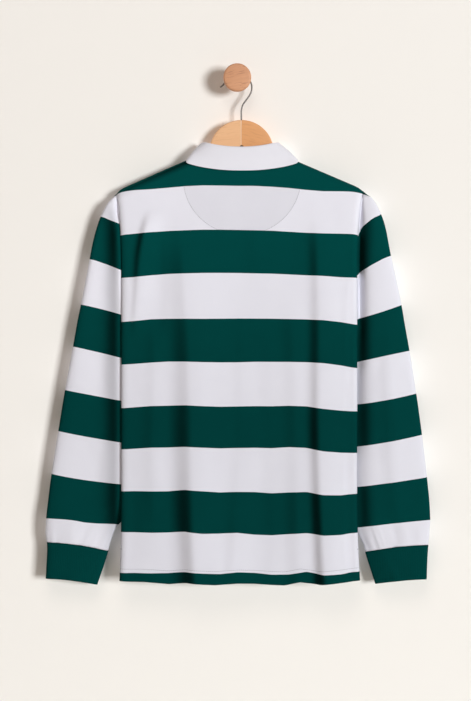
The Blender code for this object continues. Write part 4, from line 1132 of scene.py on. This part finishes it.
# Painted shade: near-black wood for the disc that stands for the bore's end.
WOOD_HOLE_SHADE = wood_material("beech in shade", (0.035, 0.018, 0.010), (0.02, 0.010, 0.006),
                          (0.01, 0.005, 0.003), (30, 80, 300), (0, 0, 0), coat=0.0, roughness=0.9)
STEEL = steel_material()
RUBBER = rubber_material()


# ---- the shirt ---------------------------------------------------------------------------------
def build_body():
    """Both panels, by face: their sheets, their pieces, and the edges that the sleeves follow."""
    sheets, pieces = {}, {}
    edges = {side: {} for side in SIGN}
    for face, surface in (("back", BODY_JERSEY), ("front", FRONT_JERSEY)):
        grid, us, vs, both = body_grid(face)
        for side in SIGN:
            rows = both[side]
            column = 0 if side == "left" else grid.shape[1] - 1
            underarm = int(np.argmax(rows.wrap >= AT_SEAM - 1e-6))
            edges[side][face] = grid[rows.shoulder - 1:underarm + 1, column].copy()
        grid = ruffle_body(grid, face, vs)
        vs = body_levels(grid, face, vs)
        skip = None
        if face == "front":
            middle = grid.shape[1] // 2
            grid, us, vs = slit(grid, us, vs, middle)
            slit_rows = int(np.sum(grid[:, middle, 2] > SLIT_LOW))

            def skip(r, c, middle=middle, slit_rows=slit_rows):
                return c == middle and r < slit_rows
        # Painted shade in the folds of the back, where the cloth turns from the light; none near
        # the side edges.
        folds = slope_painted_shade(grid) if face == "back" else np.zeros(grid.shape[:2])
        folds[:, :FOLD_FREE] = 0
        folds[:, -FOLD_FREE:] = 0
        pieces[face] = cloth(face + "_panel_cloth", grid, us, vs, CLOTH, surface,
                             face + "_panel", skip=skip, folds=folds)
        sheets[face] = Sheet(grid, vs)
    return sheets, pieces, edges


def body_levels(grid, face, vs):
    """Levels of the bands: measured on the back, carried round from the side folds on the front."""
    level = band_level(BODY_BANDS, BODY_BAND_X, grid[:, :, 0], grid[:, :, 2])
    if face == "back":
        return level
    first, last = WRAP_STEPS, grid.shape[1] - 1 - WRAP_STEPS
    part = np.clip((np.arange(grid.shape[1]) - first) / (last - first), 0, 1)
    shift = level - vs
    return vs + shift[:, first][:, None] * (1 - part) + shift[:, last][:, None] * part


def slit(grid, us, vs, middle):
    """Two copies of the middle column, a little apart, with no cloth between them."""
    grid = np.insert(grid, middle, grid[:, middle], axis=1)
    us = np.insert(us, middle, us[:, middle], axis=1)
    vs = np.insert(vs, middle, vs[:, middle], axis=1)
    open_rows = grid[:, middle, 2] > SLIT_LOW
    grid[open_rows, middle, 0] -= SEAM_GAP
    grid[open_rows, middle + 1, 0] += SEAM_GAP
    return grid, us, vs


def build_sleeve(side, edges):
    """Sleeve and cuff of one side."""
    grid, levels, open_rows = sleeve_rows(side, edges)
    grid = ruffle_sleeve(grid, side, levels)
    us = np.array([arc(row) - arc(row)[OUTER_FOLD] for row in grid])
    vs = band_level(SLEEVE_BANDS[side], SLEEVE_BAND_Q, SIGN[side] * (grid[:, :, 0] - BODY_X),
                    grid[:, :, 2])
    if open_rows < len(grid):
        grid[open_rows:, -1] = grid[open_rows:, 0]
    # Painted shade of the sleeve in the valley beside the body.
    folds = valley_painted_shade(side, SIGN[side] * (grid[:, :, 0] - BODY_X), grid[:, :, 2])
    sleeve = cloth("sleeve_%s_cloth" % side, grid, us, vs, CLOTH, SLEEVE_JERSEY[side],
                   "sleeve_" + side, open_rows=open_rows, folds=folds)
    cuff_top, cuff_low = OUTLINE[side]["z_in"][-2:]
    heights = np.linspace(cuff_top - SEAM_GAP, cuff_low, CUFF_ROWS)
    rings = np.array([closed_section(side, float(z)) for z in heights])
    centre = rings.mean(axis=1, keepdims=True)
    out = rings - centre
    out[:, :, 2] = 0
    out /= np.maximum(np.linalg.norm(out, axis=2, keepdims=True), 1e-6)
    part = np.linspace(0, 1, len(rings))[:, None]
    columns = rings.shape[1]
    around = np.linspace(0, 2 * math.pi, columns)
    seed = 51.0 if side == "left" else 67.0
    soft = np.array([[noise.noise((2.4 * math.cos(a), 2.4 * math.sin(a), seed + 1.5 * p))
                      for a in around] for p in part[:, 0]])
    rings += out * np.array([EDGEWISE, 1, 0]) * (soft * CUFF_WAVE)[:, :, None]
    rings[:, -1] = rings[:, 0]
    us = np.array([arc(row) - arc(row)[OUTER_FOLD] for row in rings])
    vs = np.repeat(np.linspace(0, float(cuff_low - cuff_top), len(rings))[:, None], columns,
                   axis=1)
    cuff = cloth("cuff_%s_rib" % side, rings, us, vs, RIB, RIB_GREEN, "cuff_" + side,
                 open_rows=0)
    return sleeve, cuff


def collar_stations():
    """Points of the collar's seam, fold and edge, from its left front end round to its right."""
    back_z, front_z = (rows * MM for rows in SHOULDER_ROWS[0][1:])
    halves = {}
    for side in SIGN:
        stations = []
        for face, rows in (("back", COLLAR_BACK_ROWS + [COLLAR_RIDGE_ROW]),
                           ("front", COLLAR_FRONT_ROWS)):
            z_mid = back_z if face == "back" else front_z
            for row in rows:
                at = {name: value * MM for name, value in zip(COLLAR_COLUMNS, row)}
                rise = float(ridge_z(side, NECK_Q)) - z_mid
                seam_z = z_mid + rise * (at["seam_q"] / NECK_Q) ** DROOP_POWER
                seam_y = float(face_y(face, side, at["seam_q"], seam_z))
                q = (at["seam_q"], at["fold_q"], at["edge_q"])
                x = [BODY_X + shift * MM + SIGN[side] * d for shift, d in zip(COLLAR_SHIFT, q)]
                stations.append([(x[0], seam_y, seam_z + COLLAR_LIFT),
                                 (x[1], at["fold_y"], at["fold_z"]),
                                 (x[2], at["edge_y"], at["edge_z"])])
        halves[side] = stations
    return np.array(halves["left"][::-1] + halves["right"][1:])


def build_collar():
    """Collar in one folded piece: stand, fold over the neck, and fall."""
    stations = collar_stations()
    steps = [COLLAR_RUN_STEPS] * (len(stations) - 1)
    fine = [through(stations[:, k], steps) for k in range(3)]
    run = np.gradient(fine[1], axis=0)
    rows = []
    for seam, fold, edge, ahead in zip(fine[0], fine[1], fine[2], run):
        up = (fold - seam) / np.linalg.norm(fold - seam)
        out = np.cross(ahead, up)
        out /= np.linalg.norm(out)
        inner = fold - COLLAR_TURN * (out + up)
        outer = fold + COLLAR_TURN * (out - up)
        middle = (outer + edge) / 2 + COLLAR_SPRING * out
        rows.append(through([seam, inner, fold, outer, middle, edge], COLLAR_STEPS))
    grid = np.array(rows)
    lengths = arc(grid[:, -1])
    us = np.repeat((lengths - lengths[-1] / 2)[:, None], grid.shape[1], axis=1)
    vs = np.array([arc(row) for row in grid])
    piece = cloth("collar_cloth", grid, us, vs, DRILL, DRILL_WHITE, "collar")
    bevel = piece.modifiers.new("soft edges", "BEVEL")
    bevel.width = COLLAR_SOFT
    bevel.segments = 2
    bevel.limit_method = "ANGLE"
    bevel.angle_limit = math.radians(50)
    return piece


def laid_on(face, xs, z, offset):
    """Points at one height on the cloth of a face, moved out by the offset."""
    outward = -1 if face == "back" else 1
    points = []
    for x in xs:
        side = "left" if x < BODY_X else "right"
        y = float(face_y(face, side, abs(x - BODY_X), z)) + outward * offset
        points.append((x, y, z))
    return points


def build_moon():
    """Half-moon behind the back panel, inside the neck."""
    low = MOON_Z - MOON_HALF_HEIGHT
    rows, us, vs = [], [], []
    for part in np.sin(np.linspace(0, 1, MOON_ROWS) * math.pi / 2):
        part = min(part, MOON_LAST)
        z = MOON_TOP + (low - MOON_TOP) * part
        below = max(MOON_Z - z, 0) / MOON_HALF_HEIGHT
        half = MOON_HALF_WIDTH * math.sqrt(1 - below ** 2)
        xs = MOON_X + half * np.linspace(-1, 1, MOON_COLUMNS)
        rows.append(laid_on("back", xs, z, -LAYER - MOON_BEHIND))
        us.append(xs)
        vs.append(np.full(len(xs), z))
    return cloth("back_neck_moon_cloth", np.array(rows), np.array(us), np.array(vs), MOON_THICK,
                 DRILL_TAPE, "back_neck_moon")


def build_placket():
    """Upper and under placket, outside and inside the front panel."""
    xs = BODY_X + PLACKET_WIDTH * np.linspace(-0.5, 0.5, PLACKET_COLUMNS)
    heights = np.linspace(PLACKET_TOP, PLACKET_LOW, PLACKET_ROWS)
    middle = LAYER + DRILL / 2
    pieces = []
    for name, offset in (("placket_upper", middle), ("placket_under", -middle)):
        grid = np.array([laid_on("front", xs, z, offset) for z in heights])
        us = np.repeat(xs[None, :], len(heights), axis=0)
        vs = np.repeat(heights[:, None], len(xs), axis=1)
        pieces.append(cloth(name + "_cloth", grid, us, vs, DRILL, DRILL_WHITE, name))
    return pieces


def build_buttons():
    """Flat round buttons with a raised rim and a soft edge, sewn on with a cross of thread."""
    for number in range(1, BUTTONS + 1):
        low, high = (np.array(corner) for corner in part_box("button_%d" % number))
        centre = (low + high) / 2
        radius, thick = (high[0] - low[0]) / 2, high[1] - low[1]
        made = turned([(reach * radius, low[1] + up * thick) for reach, up in BUTTON_PROFILE],
                      centre[0], centre[2], BUTTON_SIDES)
        hard_piece(made, "button_%d_moulded" % number, RUBBER, "button_%d" % number, 50)
        face = low[1] + 0.74 * thick
        lines = []
        for slant, rise in ((1, 0.5 * MM), (-1, 0.7 * MM)):
            lines.append([(centre[0] + d, face + (0 if d else rise), centre[2] + slant * d)
                          for d in (-THREAD_REACH, 0, THREAD_REACH)])
        cords("button_%d_thread" % number, lines, THREAD_WHITE, 0.45 * MM)


# ---- hanger, hook and peg ------------------------------------------------------------------------
def build_hanger():
    """Two flat arms cut from one outline each, with rounded edges but for the middle joint."""
    for side, surface in (("left", WOOD_LEFT), ("right", WOOD_RIGHT)):
        shift = SIGN[side] * (HANGER_X - BODY_X)

        def top(reach):
            return RIDGE_Z[side] - RIDGE_FALL[side] * (reach + shift - RIDGE_Q) - ARM_BELOW_RIDGE

        outline = [(0.0, CROWN_TOP)]
        for angle in np.linspace(math.pi / 2, CROWN_LAST, 40)[1:]:
            outline.append((CROWN_RADIUS * math.cos(angle),
                            CROWN_TOP - CROWN_RADIUS * (1 - math.sin(angle))))
        for reach, drop in ARM_TOP + ARM_END + ARM_UNDER:
            outline.append((reach * MM, top(reach * MM) - drop * MM))
        outline += [(CROWN_FOOT_REACH, CROWN_FOOT), (0.0, CROWN_FOOT)]
        made = bmesh.new()
        front = [made.verts.new((HANGER_X + SIGN[side] * (SEAM_GAP / 2 + reach),
                                 HANG_Y - HANGER_THICK / 2, z)) for reach, z in outline]
        face = made.faces.new(front)
        pushed = bmesh.ops.extrude_face_region(made, geom=[face])
        for vert in [item for item in pushed["geom"] if isinstance(item, bmesh.types.BMVert)]:
            vert.co.y += HANGER_THICK
        bmesh.ops.recalc_face_normals(made, faces=made.faces)
        rims = [edge for edge in made.edges
                if abs(edge.verts[0].co.y - edge.verts[1].co.y) < 0.02 * MM
                and not all(abs(v.co.x - HANGER_X) < MM for v in edge.verts)]
        bmesh.ops.bevel(made, geom=rims, offset=ARM_EDGE, segments=6, affect="EDGES", profile=0.5)
        hard_piece(made, "hanger_arm_%s_wood" % side, surface, "hanger_arm_" + side, 40)


def build_joint_hole_shade():
    """Flat disc of painted shade standing for the end of the bore where the two arms meet, just
    showing over the collar.
    """
    y = HANG_Y - HANGER_THICK / 2 - HOLE_LIFT
    points = [(HOLE_X, y, HOLE_Z)]
    points += [(HOLE_X + HOLE_HALF_WIDTH * math.cos(a), y, HOLE_Z + HOLE_HALF_HEIGHT * math.sin(a))
               for a in np.linspace(0, 2 * math.pi, HOLE_SIDES, endpoint=False)]
    faces = [(0, 1 + (k + 1) % HOLE_SIDES, 1 + k) for k in range(HOLE_SIDES)]
    mesh = bpy.data.meshes.new("hanger_joint_hole_shade")
    mesh.from_pydata(points, [], faces)
    new_object("hanger_joint_hole_shade", mesh, WOOD_HOLE_SHADE)


def build_hook():
    """Wire hook: a fine tube with a rounded tip."""
    points = through(np.array(HOOK_ROUTE) * MM, [WIRE_STEPS] * (len(HOOK_ROUTE) - 1))
    line = np.column_stack([points[:, 0], np.full(len(points), HANG_Y), points[:, 1]])
    run = np.gradient(line, axis=0)
    run /= np.linalg.norm(run, axis=1, keepdims=True)
    radii = np.full(len(line), WIRE_RADIUS)
    radii[-1], radii[-2] = 0.55 * WIRE_RADIUS, 0.9 * WIRE_RADIUS
    across = np.tile([0.0, 1.0, 0.0], (len(line), 1))
    verts, faces = [], []
    add_tube(verts, faces, line, radii, WIRE_SIDES, across, np.cross(run, across))
    shell("hook_wire", verts, faces, STEEL, "hook")


def build_peg():
    """Round peg, its rounded knob towards the viewer."""
    steps = [1] + [PEG_STEPS] * (len(PEG_PROFILE) - 2)
    profile = through(np.array(PEG_PROFILE, float) * MM, steps)
    made = turned([(radius, -reach) for reach, radius in profile], 0.0, 0.0, PEG_SIDES)
    hard_piece(made, "wall_peg_wood", WOOD_PEG, "wall_peg", 40)


# ---- stitching ---------------------------------------------------------------------------------
def surface_tree(piece):
    """Search tree of a finished piece, with its modifiers applied."""
    graph = bpy.context.evaluated_depsgraph_get()
    solid = piece.evaluated_get(graph)
    mesh = solid.to_mesh()
    tree = BVHTree.FromPolygons([v.co.copy() for v in mesh.vertices],
                                [tuple(p.vertices) for p in mesh.polygons])
    solid.to_mesh_clear()
    return tree


def on_face(tree, x, z, toward, lift):
    """Point on the piece at x, z, seen from outside along Y."""
    start = Vector((x, -RAY_FROM * toward, z))
    hit = tree.ray_cast(start, Vector((0, toward, 0)))
    if hit[0] is None:
        return None
    return np.array((x, hit[0].y - toward * lift, z))


def build_moon_stitch(back_piece):
    """Stitching of the half-moon, which shows on the uppermost white band of the back."""
    tree = surface_tree(back_piece)
    line = []
    for angle in np.radians(np.linspace(*MOON_STITCH_ARC)):
        x = MOON_X + MOON_HALF_WIDTH * math.cos(angle)
        z = MOON_Z + MOON_STITCH_HEIGHT * math.sin(angle)
        place = on_face(tree, x, z, 1, STITCH_LIFT)
        level = float(band_level(BODY_BANDS, BODY_BAND_X, x, z))
        if place is not None and BODY_BANDS[1][0] * MM < level < BODY_BANDS[0][0] * MM:
            line.append(place)
    stitches("back_neck_stitch", [line], THREAD_GREY, length=2.8 * MM, gap=0.5 * MM,
             radius=0.34 * MM)


def build_seams(sheets):
    """Stitching of the hem and the bar tacks of the vents."""
    hem_lines = []
    for face, sign in (("back", 1), ("front", -1)):
        sheet = sheets[face]
        last = sheet.grid.shape[1] - 1
        lift = sign * (CLOTH / 2 + 0.12 * MM) * facing(sheet, face)
        hem_lines.append(sheet.line_v(HEM_STITCH_LEVEL, WRAP_STEPS + 1, last - WRAP_STEPS - 1,
                                      lift))
    stitches("hem_stitch", hem_lines, THREAD_GREY, length=3.0 * MM, gap=0.4 * MM,
             radius=0.36 * MM)
    sheet = sheets["back"]
    last = sheet.grid.shape[1] - 1
    lift = (CLOTH / 2 + 0.25 * MM) * facing(sheet, "back")
    row = sheet.row_of(VENT_TACK_LEVEL)
    tack_lines = [[sheet.raised(row, column + c, lift) for c in np.linspace(-1.2, 1.2, 5)]
                  for column in (WRAP_STEPS + 0.5, last - WRAP_STEPS - 0.5)]
    cords("vent_tacks", tack_lines, THREAD_GREY, 0.55 * MM)


def facing(sheet, face):
    """+1 if the grid's normals point out of the shirt on that face, else -1."""
    outward = -1 if face == "back" else 1
    r, c = sheet.grid.shape[0] // 2, sheet.grid.shape[1] // 2
    return 1 if sheet.normal[r, c, 1] * outward > 0 else -1


# ---- stage, lights and camera ------------------------------------------------------------------
def wall_material(name, colour, one_sided):
    """Matt paint; a one-sided wall is clear from behind, so the part can be seen from there."""
    n = Nodes(name, 0.95, specular=0.05)
    place = n.add("ShaderNodeTexCoord").outputs["Object"]
    soft = n.noise(place, 1.3, 3.0, 0.5)
    tone = n.mix(soft, tuple(0.992 * c for c in colour), colour)
    n.bump(n.noise(place, 900.0, 2.0, 0.6), 0.05, 0.0002)
    made = n.colour(tone)
    if one_sided:
        clear = n.add("ShaderNodeBsdfTransparent")
        side = n.add("ShaderNodeNewGeometry")
        switch = n.add("ShaderNodeMixShader")
        out = n.tree.nodes["Material Output"]
        n.link(side.outputs["Backfacing"], switch.inputs[0])
        n.link(n.shader.outputs[0], switch.inputs[1])
        n.link(clear.outputs[0], switch.inputs[2])
        n.link(switch.outputs[0], out.inputs["Surface"])
    return made


def build_stage():
    """Wall and floor, which are no part of the object."""
    for name, corners, colour in (
            ("wall", [(-2.2, 0, -1.6), (2.2, 0, -1.6), (2.2, 0, 1.4), (-2.2, 0, 1.4)],
             (0.838, 0.822, 0.786)),
            ("floor", [(-4, -5, -1.6), (4, -5, -1.6), (4, 4, -1.6), (-4, 4, -1.6)],
             (0.80, 0.78, 0.74))):
        mesh = bpy.data.meshes.new(name)
        mesh.from_pydata(corners, [], [(0, 1, 2, 3)])
        surface = wall_material(name + " paint", colour, name == "wall")
        made = new_object(name, mesh, surface, ride=False)
        made.visible_shadow = name != "wall"


def area_light(name, place, aim, size, power, colour):
    """Square light at a place, turned to its aim."""
    light = bpy.data.lights.new(name, "AREA")
    light.energy = power
    light.color = colour
    light.size = size
    made = bpy.data.objects.new(name, light)
    made.location = place
    direction = Vector(aim) - Vector(place)
    made.rotation_euler = direction.to_track_quat("-Z", "Y").to_euler()
    bpy.context.scene.collection.objects.link(made)


def build_lights():
    """Far key light from the right, soft light from above and left, and two behind the wall."""
    area_light("key", (7.6, -11.7, -0.1), (0, 0, -0.45), 3.2, 1725, (0.985, 1.0, 1.01))
    area_light("top", (-0.3, -2.7, 1.7), (0, 0, -0.3), 1.6, 22, (1.0, 0.87, 0.78))
    area_light("fill", (-2.2, -3.6, -0.1), (0, 0, -0.5), 2.6, 8, (1.0, 0.73, 0.61))
    area_light("rear", (0.8, 2.8, 0.6), (0, 0, -0.45), 1.8, 60, (1.0, 0.99, 0.97))
    area_light("rear side", (-2.2, 2.0, 0.2), (0, 0, -0.45), 1.4, 26, (1.0, 0.99, 0.98))
    world = bpy.data.worlds.new("studio")
    world.use_nodes = True
    background = world.node_tree.nodes["Background"]
    background.inputs["Color"].default_value = (1.0, 0.76, 0.66, 1)
    background.inputs["Strength"].default_value = 0.03
    bpy.context.scene.world = world
    bpy.context.scene.view_settings.view_transform = "Standard"


def build_camera():
    """Camera square to the wall, level with the middle of the photo."""
    data = bpy.data.cameras.new("camera")
    data.sensor_fit = "VERTICAL"
    data.angle_y = 2 * math.atan(SEEN_HEIGHT / 2 / SHIRT_DISTANCE)
    data.clip_start = 0.05
    made = bpy.data.objects.new("camera", data)
    made.location = (-0.003, -3.0, -0.477)
    made.rotation_euler = (math.pi / 2, 0, 0)
    bpy.context.scene.collection.objects.link(made)
    bpy.context.scene.camera = made


def main():
    """Build everything."""
    build_camera()
    build_lights()
    build_stage()
    sheets, panels, edges = build_body()
    sleeves = {side: build_sleeve(side, edges[side]) for side in SIGN}
    collar = build_collar()
    moon = build_moon()
    plackets = build_placket()
    build_buttons()
    build_hanger()
    build_joint_hole_shade()
    build_hook()
    build_peg()
    build_moon_stitch(panels["back"])
    build_seams(sheets)


main()
